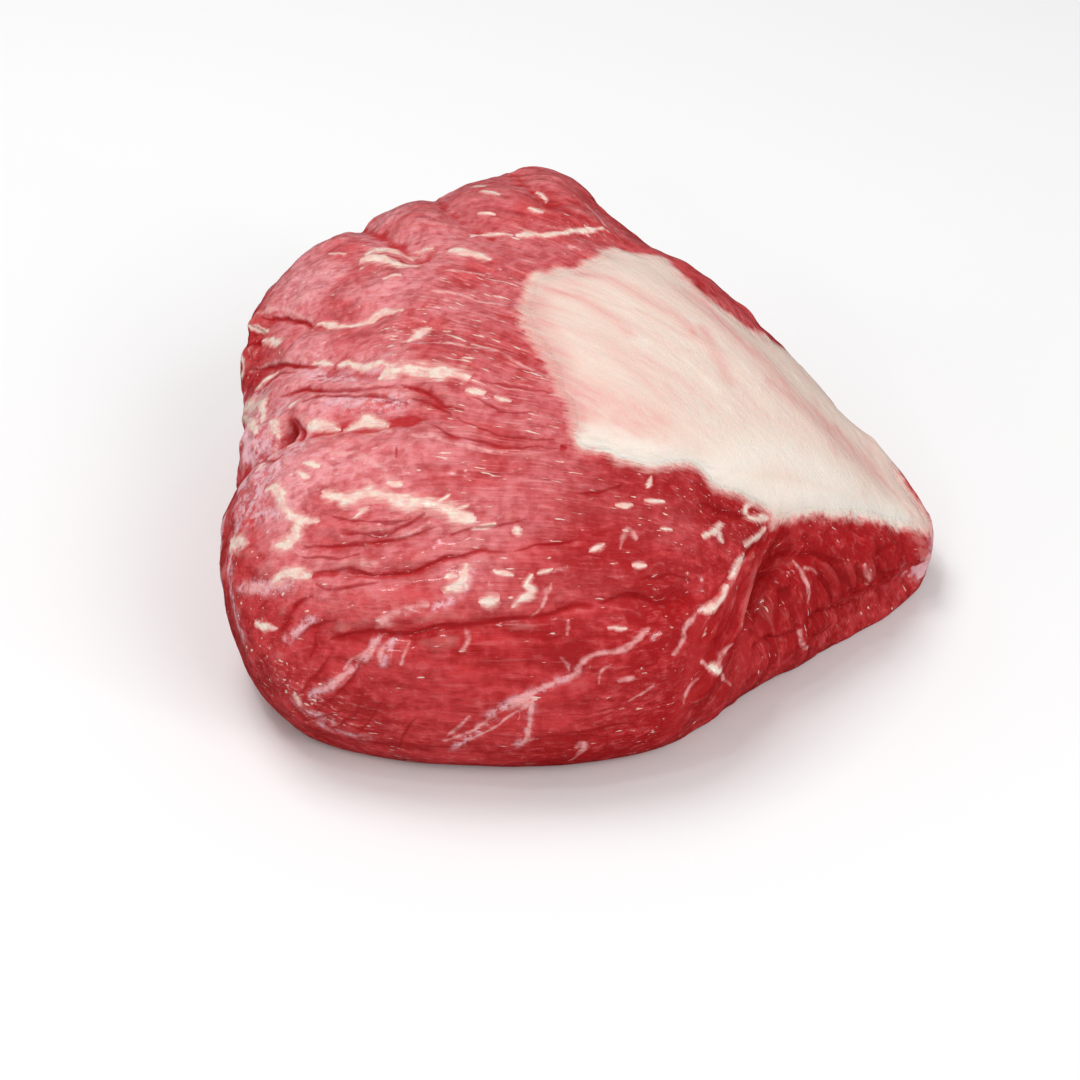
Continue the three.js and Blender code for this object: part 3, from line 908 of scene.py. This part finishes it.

# %% [markdown]
# ## What each point tells its material
# The shader can't measure distances to lines, so each point carries them: for seams, veins and creases,
# the signed distance in half-widths and how full the line is there. Lines that come near each other go
# into different channels of three. Each point also carries its grain, how deep it lies in the fat or in
# a hollow, which paints shade and highlight, and how strong each film with its painted sheen and each soft
# patch is there.

# %% Line channels
FAR = 8.0
CHANNELS = 3
# share, size and seed of the noise that makes a line uneven
UNEVEN = ((0.45, 3.4, 2), (0.3, 1.7, 4))
# how far past twice its half-width a line is measured, and how far it is full, in millimetres
MEASURED_PAST, FULL_PAST = 4, 2
# the painted shade line in a crease is this share of the crease's width
CREASE_SHADE_MARK = 0.4


def channels(points, facing, lines, taper):
    """Signed distance to the nearest line in half-widths, and the line's fullness, in three channels.
    A line takes the channel in which the fewest of its points are already taken."""
    side = np.full((len(points), CHANNELS), FAR + 1)
    full = np.zeros((len(points), CHANNELS))
    uneven = 1 + sum(share * noise(points, size, seed) for share, size, seed in UNEVEN)
    for width, line in lines:
        near, distance, along = measure(points, facing, line, 2 * width + MEASURED_PAST)
        channel = int(np.argmin((full[near] > 0).mean(0)))
        across = np.clip(distance / width, -FAR, FAR)
        nearer = np.abs(across) < np.abs(side[near, channel])
        side[near[nearer], channel] = across[nearer]
        here = fullness(line, along, taper) * uneven[near] * (np.abs(distance) < 2 * width + FULL_PAST)
        full[near[nearer], channel] = here[nearer]
    return side, full


crease_shade_marks = [(CREASE_SHADE_MARK * width, line) for depth, width, line in crease_lines]
marks = {
    "seam": (seam_lines, SEAM_TAPER),
    "vein": (vein_lines, SEAM_TAPER),
    "crease": (crease_shade_marks, CREASE_TAPER),
}
for mark, (lines, taper) in marks.items():
    side, full = channels(plain, normals, lines, taper)
    keep(lean, mark + "_side", side)
    keep(lean, mark + "_full", full)
    print(mark, "lines reach", int((full > 0).any(1).sum()), "points")

# %% Soft patches
# half-width in millimetres, and the pixels that the middle of each patch passes through: where the film
# is lilac, partly silverskin and partly a painted sheen on the left part of the meat
LILAC_PATCHES = [
    (7, [(262, 400), (254, 440), (262, 470), (250, 500)]),
    (4, [(300, 440), (282, 462), (262, 492), (246, 510)]),
    (2, [(240, 520), (232, 560), (234, 600), (246, 640)]),
    (2.5, [(330, 396), (360, 400), (400, 397)]),
    (2.5, [(300, 372), (345, 372), (372, 368)]),
    (2, [(250, 520), (290, 512)]),
    # low on the front: a broad pale band with a branch, and the speckled corner on the left
    (1.0, [(580, 671), (564, 680), (540, 691), (514, 702), (491, 714), (477, 733), (456, 747)]),
    (0.8, [(533, 700), (531, 716), (527, 732), (518, 744)]),
    (0.9, [(312, 692), (336, 681), (353, 670), (368, 655), (377, 636)]),
    # a painted highlight on a wet lump
    (1.1, [(288, 640), (300, 630), (313, 620)]),
    (0.9, [(384, 664), (388, 648), (396, 636)]),
    (1.0, [(296, 700), (312, 712), (332, 722)]),
    (0.8, [(316, 722), (336, 736), (366, 742)]),
    (2.0, [(284, 404), (276, 418), (268, 440)]),
    (2.0, [(250, 400), (246, 424), (247, 450)]),
    (1.6, [(244, 588), (262, 587), (286, 584)]),
    (1.0, [(436, 606), (460, 592), (468, 572)]),
]
# where the fat is whiter: thick fat along the front, and painted light on the lower slope that faces away
# from the key
WHITE_AND_LIT_PATCHES = [
    (5, [(590, 440), (640, 455), (700, 468), (760, 492), (830, 500), (900, 516)]),
    (7, [(720, 470), (770, 455), (810, 470), (850, 490)]),
]
# where the fat is pinker
BLUSH_PATCHES = [
    (6.0, [(690, 300), (720, 325), (760, 360), (800, 405), (840, 440), (872, 470)]),
    (5.0, [(535, 300), (545, 340), (562, 375), (580, 415), (588, 440)]),
    (6.0, [(580, 390), (610, 408), (650, 425)]),
    (2.6, [(584, 276), (606, 281), (629, 291), (650, 303), (673, 318), (691, 331)]),
    (2.2, [(547, 288), (579, 298), (604, 313), (627, 332)]),
    (1.8, [(577, 388), (592, 403), (608, 417), (627, 431), (644, 442), (662, 451), (680, 459)]),
    (2.4, [(703, 332), (719, 361), (728, 380)]),
]
# where the muscle is darker and has less film
BARE_PATCHES = [
    (9, [(700, 500), (735, 515), (790, 540), (850, 545), (900, 550)]),
    (12, [(780, 590), (840, 590), (890, 580)]),
    (10, [(700, 640), (760, 640), (820, 620)]),
    (8, [(640, 480), (700, 495), (740, 515)]),
    (13, [(600, 535), (630, 555), (665, 600), (650, 650)]),
    (12, [(560, 760), (640, 735), (700, 690)]),
    # painted shade in the open pocket at the left end
    (2.2, [(289, 418), (284, 429), (277, 441)]),
]
# where pale threads of fat run between the fibres
STRINGY_PATCHES = [
    (15, [(470, 290), (490, 340), (510, 400), (520, 450)]),
    (9, [(380, 260), (440, 240), (520, 230), (620, 225)]),
    (8, [(400, 330), (440, 300), (500, 280)]),
    (7, [(290, 680), (320, 702), (352, 722)]),
]
# where a milky film wraps over the edge at the right, and where a painted rim highlight runs along the left
# edges, in millimetres on the skin
WRAP_AND_RIM_HIGHLIGHT_LINES = [
    (4.4, [(90, -11, 16), (90, -17, 13), (88.5, -24, 9)]),
    (2.2, [(-86.6, -46, 40), (-87.5, -50, 30), (-86.5, -55, 22)]),
    (2.2, [(-83.5, -16, 48), (-82.5, -30, 48), (-82, -42, 48)]),
]
# how many half-widths a patch reaches
PATCH_REACH = 3


def patch_strength(points, facing, patches):
    """The strongest of exp(-(d / width) ** 2) over a few soft patches."""
    strength = np.zeros(len(points))
    for width, line in patches:
        near, distance, _ = measure(points, facing, line, PATCH_REACH * width)
        strength[near] = np.maximum(strength[near], np.exp(-((distance / width) ** 2)))
    return strength


def lean_patches(table):
    return patch_strength(plain, normals, drawn(table))


bare, lilac = lean_patches(BARE_PATCHES), lean_patches(LILAC_PATCHES)
print("bare on", f"{(bare > 0.5).mean():.1%},", "lilac on", f"{(lilac > 0.5).mean():.1%} of the points")

# %% Films with their painted sheen, hollows, grain and fat depth
# how far up a point faces where the milky film and its painted sheen begin and where they are full
FLAT_TOP_NORMAL = (0.42, 0.88)
# how far to the left of the origin the film and its painted sheen begin to grow and turn paler, and where
# that ends
TO_LEFT = (-20, 80)
# the strength of the film and its painted sheen on a flat top, and what the left, lilac and bare parts add to
# it or take from it
TOP_FILM_AND_SHEEN, LEFT_ADDS, LILAC_ADDS, BARE_TAKES = 0.78, 0.22, 0.5, 0.8
LEAST_FILM = 0.15
# how far the fat's edge is torn, by the direction from its middle in degrees
TORN = np.array([(0, 1.0), (101, 0.6), (151, 0.8), (162, 1.2), (180, 1.7), (205, 1.3), (225, 1.0), (245, 0.8),
                 (270, 0.8), (289, 1.0), (317, 1.4), (348, 1.3)])
# over how many rings and columns to each side of a point its surroundings are averaged
HOLLOW_REACH = 3


def hollowness(values):
    """How far each point of the lean lies below the mean of the rings and columns around it."""
    grid = values[1:-1].reshape(-1, SECTIONS)
    steps = np.arange(-HOLLOW_REACH, HOLLOW_REACH + 1)
    rings = np.clip(np.arange(len(grid))[:, None] + steps, 0, len(grid) - 1)
    around = grid[rings].mean(1)
    around = np.mean([np.roll(around, step, axis=1) for step in steps], axis=0)
    return np.r_[0, (around - grid).ravel(), 0]


# painted sheen: the film is strongest where the skin faces up, so the top is paler than the sides
top_facing = step_up(normals[:, 2], *FLAT_TOP_NORMAL)
to_left = step_up(-plain[:, 0], *TO_LEFT)
film_and_sheen = np.maximum(top_facing * (TOP_FILM_AND_SHEEN + LEFT_ADDS * to_left), LILAC_ADDS * lilac * to_left)
above_belly = step_up(place, FLAT + ROLL - 1, FLAT + ROLL + 1)
from_middle = np.degrees(np.arctan2(*(plain[:, :2] - FAT_MIDDLE).T[::-1])) % 360
lean_values = {
    "film_and_sheen": np.maximum(film_and_sheen, LEAST_FILM) * (1 - BARE_TAKES * bare),
    # paler film and painted sheen on the top and on the lilac patches, towards the left
    "pale": np.maximum(top_facing, lilac) * to_left,
    "bare": bare,
    "lilac": lilac,
    "stringy": lean_patches(STRINGY_PATCHES),
    "wrap_and_rim_highlight": patch_strength(plain, normals, [(width, smooth_line(path)) for width, path in WRAP_AND_RIM_HIGHLIGHT_LINES]),
    "white": lean_patches(WHITE_AND_LIT_PATCHES),
    "blush": lean_patches(BLUSH_PATCHES),
    # how far each point lies below its surroundings, from which the material paints shade in hollows and a
    # highlight on ridges
    "hollow": hollowness(lean_relief) * above_belly,
    "grain": lean_grain,
    "grain_smooth": grain_smooth,
    "into_fat": fat_depth,
    "torn": np.interp(from_middle, *TORN.T, period=360),
}
cap_values = {
    "white": patch_strength(cap_plain, cap_normals, drawn(WHITE_AND_LIT_PATCHES)),
    "blush": patch_strength(cap_plain, cap_normals, drawn(BLUSH_PATCHES)),
    "into_fat": cap_depth,
}
for piece, values in ((lean, lean_values), (cap, cap_values)):
    for name, value in values.items():
        keep(piece, name, value)
    print(piece.name, "carries", len(piece.data.attributes), "sets of values")

# %% [markdown]
# ## Building materials from nodes
# A material is a graph of nodes. These few helpers add a node, feed it and hand back its output, so that
# a material reads like a formula. Effects that are used more than once are node groups with named
# inputs and outputs.

# %% Node helpers
def feed(node, inputs):
    """Feeds a node's inputs with numbers or with other nodes' outputs."""
    for name, value in inputs.items():
        if isinstance(value, bpy.types.NodeSocket):
            node.id_data.links.new(value, node.inputs[name])
        else:
            node.inputs[name].default_value = value


def add(tree, kind, inputs, output=0, **settings):
    """Adds a node, sets it up, feeds its inputs and hands back one of its outputs."""
    made = tree.nodes.new("ShaderNode" + kind)
    for name, value in settings.items():
        setattr(made, name, value)
    feed(made, inputs)
    return made.outputs[output]


def maths(tree, operation, a, b=0.0, clamp=False):
    return add(tree, "Math", {0: a, 1: b}, operation=operation, use_clamp=clamp)


def plus(tree, a, b):
    return maths(tree, "ADD", a, b)


def minus(tree, a, b, clamp=False):
    return maths(tree, "SUBTRACT", a, b, clamp)


def times(tree, a, b, clamp=False):
    return maths(tree, "MULTIPLY", a, b, clamp)


def scaled(tree, vector, factors):
    """A vector with each of its three numbers multiplied."""
    return add(tree, "VectorMath", {0: vector, 1: factors}, operation="MULTIPLY")


def ramp(tree, value, low, high, to_low=0.0, to_high=1.0):
    """A smooth step of a value from one level to another."""
    inputs = {"Value": value, "From Min": low, "From Max": high, "To Min": to_low, "To Max": to_high}
    return add(tree, "MapRange", inputs, interpolation_type="SMOOTHSTEP")


def between(tree, share, a, b):
    """The number at a share of the way from a to b."""
    return add(tree, "Mix", {0: share, 2: a, 3: b})


def blend(tree, share, a, b):
    """The colour at a share of the way from a to b."""
    return add(tree, "Mix", {0: share, 6: a, 7: b}, output=2, data_type="RGBA")


def cloud(tree, vector, scale=1.0, detail=2.0, roughness=0.5, warp=0.0):
    """Blender's noise, from 0 to 1."""
    inputs = {"Vector": vector, "Scale": scale, "Detail": detail, "Roughness": roughness, "Distortion": warp}
    return add(tree, "TexNoise", inputs)


def read(tree, name, output=2):
    """A value that the piece's points carry: output 2 is a number and output 1 is a vector."""
    return add(tree, "Attribute", {}, output, attribute_name=name)


def new_group(name, inputs, outputs):
    """An empty node group. inputs and outputs pair a socket's name with its kind."""
    tree = bpy.data.node_groups.new(name, "ShaderNodeTree")
    for direction, sockets in (("INPUT", inputs), ("OUTPUT", outputs)):
        for socket, kind in sockets.items():
            tree.interface.new_socket(socket, in_out=direction, socket_type="NodeSocket" + kind)
    entry = tree.nodes.new("NodeGroupInput")
    leaving = tree.nodes.new("NodeGroupOutput")
    return tree, entry.outputs, leaving.inputs


def use(tree, group, inputs):
    """Places a node group in a tree and hands back its outputs."""
    made = tree.nodes.new("ShaderNodeGroup")
    made.node_tree = group
    feed(made, inputs)
    return made.outputs


# %% [markdown]
# ## Drawn lines
# The first group says how far a point is inside a line, in half-widths: the line's fullness less the
# distance from its middle, with a little noise to tear the edge. Each use of it then picks its own
# softness. Where a line is almost empty the distance has no meaning, so it counts as far outside.

# %% Group: drawn line
TEAR_STRETCH = (0.2, 0.75, 0.75)
# a line emptier than this counts as further outside, by up to this many half-widths
ALMOST_EMPTY, OUTSIDE_BY = 0.25, 4.0
line_group, given, result = new_group(
    "drawn line",
    {"Grain": "Vector", "Side": "Vector", "Full": "Vector", "Torn": "Float"},
    {"Inside": "Float"},
)
tear_noise = cloud(line_group, scaled(line_group, given["Grain"], TEAR_STRETCH), 1, 3, 0.6)
tear = times(line_group, minus(line_group, tear_noise, 0.5), given["Torn"])
deepest = -FAR
for channel in range(CHANNELS):
    full = add(line_group, "SeparateXYZ", {0: given["Full"]}, channel)
    side = add(line_group, "SeparateXYZ", {0: given["Side"]}, channel)
    within = minus(line_group, full, maths(line_group, "ABSOLUTE", side))
    within = minus(line_group, within, ramp(line_group, full, ALMOST_EMPTY, 0.0, 0.0, OUTSIDE_BY))
    deepest = maths(line_group, "MAXIMUM", within, deepest)
line_group.links.new(plus(line_group, deepest, tear), result["Inside"])
print("group", line_group.name, len(line_group.nodes), "nodes")

# %% [markdown]
# ## Fibres and flecks
# Muscle is bundles of long fibres. Noise that is stretched along the grain gives both the broad bundles
# and the fine threads, and where stretched noise peaks there is a fleck of fat between the bundles.

# %% Group: muscle fibre
fibre_group, given, result = new_group(
    "muscle fibre",
    {"Grain": "Vector", "Stringy": "Float"},
    {"Bundles": "Float", "Threads": "Float", "Flecks": "Float"},
)
bundles = cloud(fibre_group, scaled(fibre_group, given["Grain"], (0.05, 0.2, 0.2)), 1, 3, 0.55, 0.7)
threads = cloud(fibre_group, scaled(fibre_group, given["Grain"], (0.10, 1.15, 1.15)), 1, 3, 0.6, 0.25)
spots = cloud(fibre_group, scaled(fibre_group, given["Grain"], (0.2, 1.0, 1.0)), 1, 2, 0.5, 0.25)
crowding = cloud(fibre_group, given["Grain"], 0.045, 2)
threshold = minus(fibre_group, 0.775, times(fibre_group, crowding, 0.16))
threshold = minus(fibre_group, threshold, times(fibre_group, given["Stringy"], 0.06))
flecks = ramp(fibre_group, spots, threshold, plus(fibre_group, threshold, 0.06))
fibre_group.links.new(bundles, result["Bundles"])
fibre_group.links.new(threads, result["Threads"])
fibre_group.links.new(flecks, result["Flecks"])

# %% [markdown]
# ## Fat
# Fat is cream in the middle and pinker towards its border, with soft pink streaks drawn out in the
# direction in which the skin was pulled. Both materials use this group, the lean's for the torn fringe
# outside the cap, so the border has no seam in its colour.

# %% Group: fat
CREAM = (0.80, 0.63, 0.54, 1)
WHITE_FAT = (0.85, 0.745, 0.66, 1)
FAT_PINK = (0.77, 0.39, 0.35, 1)
FAT_STREAK_TURN = np.radians(38)
fat_group, given, result = new_group(
    "fat tissue",
    {"Vector": "Vector", "Depth": "Float", "Blush": "Float", "White": "Float"},
    {"Color": "Color", "Roughness": "Float", "Height": "Float"},
)
turned = add(fat_group, "Mapping", {"Vector": given["Vector"], "Rotation": (0, 0, FAT_STREAK_TURN)})
broad = cloud(fat_group, scaled(fat_group, turned, (0.022, 0.11, 0.11)), 1, 3, 0.5, 0.6)
fine = cloud(fat_group, scaled(fat_group, turned, (0.06, 0.5, 0.5)), 1, 3, 0.6, 0.3)
grit = cloud(fat_group, given["Vector"], 1.6, 3)
near_border = ramp(fat_group, given["Depth"], 9.0, -1.0)
pinkness = times(fat_group, ramp(fat_group, broad, 0.48, 0.72), 0.5)
pinkness = plus(fat_group, pinkness, times(fat_group, near_border, 0.5))
pinkness = plus(fat_group, pinkness, times(fat_group, given["Blush"], 0.65))
streaked = ramp(fat_group, fine, 0.25, 0.7, 0.45, 1.2)
not_white = ramp(fat_group, given["White"], 0.0, 0.9, 1.0, 0.1)
streaked = times(fat_group, streaked, not_white)
pinkness = times(fat_group, pinkness, streaked, clamp=True)
# whiter thick fat, which is also painted light on the slope that faces away from the key
whiteness = maths(fat_group, "MAXIMUM", ramp(fat_group, fine, 0.45, 0.8, 0.0, 0.7), given["White"])
cream = blend(fat_group, whiteness, CREAM, WHITE_FAT)
fat_group.links.new(blend(fat_group, pinkness, cream, FAT_PINK), result["Color"])
fat_group.links.new(ramp(fat_group, grit, 0.3, 0.7, 0.38, 0.55), result["Roughness"])
rough_grit = times(fat_group, grit, 0.3)
fat_height = plus(fat_group, times(fat_group, fine, 0.5), rough_grit)
fat_group.links.new(fat_height, result["Height"])


def fat_tissue(tree, place_mm):
    """The fat group, fed with what the piece's points carry."""
    depth, blush, white = (read(tree, name) for name in ("into_fat", "blush", "white"))
    return use(tree, fat_group, {"Vector": place_mm, "Depth": depth, "Blush": blush, "White": white})


print("groups", [group.name for group in bpy.data.node_groups])

# %% [markdown]
# ## The lean's material
# Layers are laid over each other as they lie on the meat: red muscle, milky film with a painted sheen on the
# top, pale threads with painted highlights, lilac film partly painted sheen, flecks, veins, a painted
# highlight on ridges and painted shade in hollows, white seams, painted shade in the creases, and at the edge
# the torn fringe of fat.

# %% Lean material
DEEP_RED = (0.38, 0.006, 0.008, 1)
MUSCLE_RED = (0.62, 0.042, 0.047, 1)
FILM_SHEEN_PINK = (0.68, 0.16, 0.17, 1)
FILM_SHEEN_PALE = (0.86, 0.36, 0.38, 1)
LILAC_FILM_AND_SHEEN = (0.86, 0.52, 0.57, 1)
VEIN_PINK = (0.84, 0.38, 0.37, 1)
SEAM_EDGE = (0.84, 0.42, 0.38, 1)
SEAM_CREAM = (0.86, 0.72, 0.62, 1)
CREASE_SHADE_RED = (0.34, 0.006, 0.008, 1)
HOLLOW_SHADE_RED = (0.50, 0.014, 0.017, 1)
BUMP_DEPTH = 0.0009


def new_material(name):
    """A material with nodes, its tree, and its piece's own coordinates in millimetres."""
    material = bpy.data.materials.new(name)
    material.use_nodes = True
    tree = material.node_tree
    own = add(tree, "TexCoord", {}, "Object")
    return material, tree, scaled(tree, own, (1 / MM, 1 / MM, 1 / MM))


def shade(material, inputs):
    """Feeds the material's Principled shader."""
    feed(material.node_tree.nodes["Principled BSDF"], inputs)


lean_material, tree, place_mm = new_material("raw_muscle")
grain_at, smooth, stringy = read(tree, "grain", 1), read(tree, "grain_smooth"), read(tree, "stringy")
fibre = use(tree, fibre_group, {"Grain": grain_at, "Stringy": stringy})
mottle = cloud(tree, place_mm, 0.42, 3, 0.5)
bare = read(tree, "bare")
string_share = ramp(tree, plus(tree, stringy, bare), 0.0, 1.0, 0.22, 0.5)
lightness = between(tree, string_share, fibre["Bundles"], fibre["Threads"])
lightness = plus(tree, lightness, ramp(tree, mottle, 0.3, 0.7, -0.06, 0.06))
lightness = minus(tree, lightness, times(tree, bare, 0.12))
lightness = between(tree, smooth, 0.45, lightness)
color = blend(tree, ramp(tree, lightness, 0.34, 0.66), DEEP_RED, MUSCLE_RED)

patchy = ramp(tree, cloud(tree, place_mm, 0.06, 3), 0.32, 0.62, 0.35, 1.0)
threaded = ramp(tree, fibre["Threads"], 0.3, 0.65, 0.7, 1.0)
# the milky film with its painted sheen, strongest on the top
film_and_sheen = times(tree, times(tree, read(tree, "film_and_sheen"), patchy), threaded)
film_and_sheen = times(tree, film_and_sheen, ramp(tree, mottle, 0.34, 0.62, 0.6, 1.1), clamp=True)
color = blend(tree, film_and_sheen, color, blend(tree, read(tree, "pale"), FILM_SHEEN_PINK, FILM_SHEEN_PALE))
# pale threads of fat between the fibres, and a painted highlight along the fibre ridges
thread_and_highlight = ramp(tree, fibre["Threads"], 0.56, 0.7)
thread_and_highlight = times(tree, thread_and_highlight, ramp(tree, stringy, 0.1, 1.0, 0.1, 0.55))
color = blend(tree, thread_and_highlight, color, VEIN_PINK)
mottled = ramp(tree, cloud(tree, place_mm, 0.5, 3, 0.7), 0.4, 0.6)
# lilac silverskin film, partly a painted sheen on the left part of the meat
lilac = times(tree, read(tree, "lilac"), mottled)
color = blend(tree, times(tree, lilac, 0.85), color, LILAC_FILM_AND_SHEEN)
# milky film over the right-hand point, and a painted rim highlight along the left edges
wrap_and_rim_highlight = plus(tree, read(tree, "wrap_and_rim_highlight"), ramp(tree, mottle, 0.3, 0.7, -0.3, 0.3))
wrap_and_rim_highlight = ramp(tree, wrap_and_rim_highlight, 0.2, 0.85, 0.0, 0.85)
color = blend(tree, wrap_and_rim_highlight, color, LILAC_FILM_AND_SHEEN)
color = blend(tree, times(tree, fibre["Flecks"], 0.8), color, SEAM_CREAM)


def line_mark(mark, torn):
    """How far the point is inside the lines of one kind, in half-widths."""
    side, full = read(tree, mark + "_side", 1), read(tree, mark + "_full", 1)
    return use(tree, line_group, {"Grain": grain_at, "Side": side, "Full": full, "Torn": torn})["Inside"]


worn = ramp(tree, mottle, 0.34, 0.62, 0.3, 0.95)
vein = ramp(tree, line_mark("vein", 3.0), -1.2, 0.9)
color = blend(tree, times(tree, vein, worn), color, VEIN_PINK)
hollow = read(tree, "hollow")
# painted highlight on the ridges, less on the bare parts, and painted shade in the hollows, darker on the
# bare parts
ridge_highlight = ramp(tree, hollow, -0.06, -0.5, 0.0, 0.3)
ridge_highlight = minus(tree, ridge_highlight, times(tree, bare, 0.3), clamp=True)
color = blend(tree, ridge_highlight, color, SEAM_EDGE)
hollow_shade_red = blend(tree, bare, HOLLOW_SHADE_RED, CREASE_SHADE_RED)
color = blend(tree, ramp(tree, hollow, 0.06, 0.45, 0.0, 0.8), color, hollow_shade_red)
in_seam = line_mark("seam", 2.4)
color = blend(tree, times(tree, ramp(tree, in_seam, -1.1, 0.2), 0.75), color, SEAM_EDGE)
seam = ramp(tree, in_seam, -0.2, 0.5)
color = blend(tree, seam, color, blend(tree, worn, SEAM_EDGE, SEAM_CREAM))
# painted shade along each crease, stronger on the bare parts
crease = ramp(tree, line_mark("crease", 2.0), -1.0, 0.8)
crease = times(tree, crease, ramp(tree, bare, 0.0, 1.0, 0.7, 0.95))
color = blend(tree, crease, color, CREASE_SHADE_RED)

fat = fat_tissue(tree, place_mm)
torn_along = cloud(tree, scaled(tree, grain_at, (0.16, 0.9, 0.9)), 1, 3, 0.65)
torn_edge = plus(tree, times(tree, torn_along, 0.6), times(tree, mottle, 0.4))
tear_reach = times(tree, read(tree, "torn"), 5.0)
torn_by = times(tree, minus(tree, torn_edge, 0.47), tear_reach)
fringe_reach = plus(tree, read(tree, "into_fat"), torn_by)
fringe = ramp(tree, fringe_reach, -0.4, 1.0)
color = blend(tree, times(tree, ramp(tree, fringe_reach, -2.0, 0.3), 0.8), color, SEAM_EDGE)
color = blend(tree, fringe, color, fat["Color"])

height = times(tree, times(tree, fibre["Threads"], 0.8), smooth)
height = plus(tree, height, times(tree, mottle, 0.9))
height = plus(tree, height, times(tree, cloud(tree, place_mm, 1.4, 2), 0.3))
bump = add(tree, "Bump", {"Height": height, "Distance": BUMP_DEPTH, "Strength": 0.9})
wetness = ramp(tree, patchy, 0.35, 1.0, 0.48, 0.3)
roughness = between(tree, fringe, wetness, fat["Roughness"])
shade(lean_material, {
    "Base Color": color,
    "Roughness": roughness,
    "Normal": bump,
    "Subsurface Weight": 0.2,
    "Subsurface Scale": 0.004,
    "Coat Weight": 0.4,
    "Coat Roughness": 0.12,
    "Specular IOR Level": 0.15,
})
lean.data.materials.append(lean_material)
print(lean_material.name, len(tree.nodes), "nodes")

# %% Fat material
fat_material, tree, place_mm = new_material("beef_fat")
fat = fat_tissue(tree, place_mm)
bump = add(tree, "Bump", {"Height": fat["Height"], "Distance": BUMP_DEPTH, "Strength": 0.7})
shade(fat_material, {
    "Base Color": fat["Color"],
    "Roughness": fat["Roughness"],
    "Normal": bump,
    "Subsurface Weight": 0.1,
    "Subsurface Scale": 0.003,
    "Coat Weight": 0.15,
    "Coat Roughness": 0.25,
    "Specular IOR Level": 0.35,
})
cap.data.materials.append(fat_material)
print(fat_material.name, len(tree.nodes), "nodes")

# %% [markdown]
# ## Joining the frame
# Each piece rides on the imported body and stands for its solid.

# %% Ride, replace
for piece, solid, finish in ((lean, "lean", "lean_meat"), (cap, "fat_cap", "beef_fat")):
    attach(piece, "root")
    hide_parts(solid)
print("pieces", [piece.name for piece in (lean, cap)])

# %% [markdown]
# ## Floor and light
# A plain pale floor, a soft key light high on the left behind the meat as in the photograph, and two
# fill lights to open the shadows. Wet meat would mirror all of them as grey sheets, so they are hidden
# from reflections, and three small lights are there for the glints alone.

# %% Floor and lights
FLOOR_SIZE = 6.0
FLOOR_WHITE = (0.86, 0.86, 0.86, 1)
SKY_STRENGTH = 0.45
# place in metres, size in metres, and power in watts
LIGHTS = {
    "key": ((-0.4, 0.3, 1.2), 0.6, 7.9),
    "fill": ((0.85, -0.9, 1.0), 0.9, 9.0),
    "left fill": ((-1.3, -0.4, 0.5), 0.8, 2.2),
    "glint above": ((-0.3, -0.2, 1.15), 0.10, 0.9),
    "glint in front": ((-0.35, -1.0, 0.6), 0.10, 0.8),
    "glint from the right": ((0.9, -0.65, 0.4), 0.10, 0.8),
}

floor_mesh = bpy.data.meshes.new("floor")
half = FLOOR_SIZE / 2
floor_corners = [(-half, -half, 0), (half, -half, 0), (half, half, 0), (-half, half, 0)]
floor_mesh.from_pydata(floor_corners, [], [(0, 1, 2, 3)])
floor = bpy.data.objects.new("floor", floor_mesh)
bpy.context.scene.collection.objects.link(floor)
floor_material = new_material("pale_floor")[0]
shade(floor_material, {"Base Color": FLOOR_WHITE, "Roughness": 0.9})
floor_mesh.materials.append(floor_material)
floor.visible_glossy = False

for name, (where, size, watts) in LIGHTS.items():
    light = bpy.data.objects.new(name, bpy.data.lights.new(name, "AREA"))
    light.data.size = size
    light.data.energy = watts
    light.location = where
    light.rotation_euler = (-Vector(where)).to_track_quat("-Z", "Y").to_euler()
    light.visible_glossy = name.startswith("glint")
    bpy.context.scene.collection.objects.link(light)
print(len(LIGHTS), "lights")

world = bpy.data.worlds.new("studio")
world.use_nodes = True
world.node_tree.nodes["Background"].inputs["Color"].default_value = (1, 1, 1, 1)
world.node_tree.nodes["Background"].inputs["Strength"].default_value = SKY_STRENGTH
world.cycles_visibility.glossy = False
bpy.context.scene.world = world
bpy.context.scene.view_settings.view_transform = "Standard"
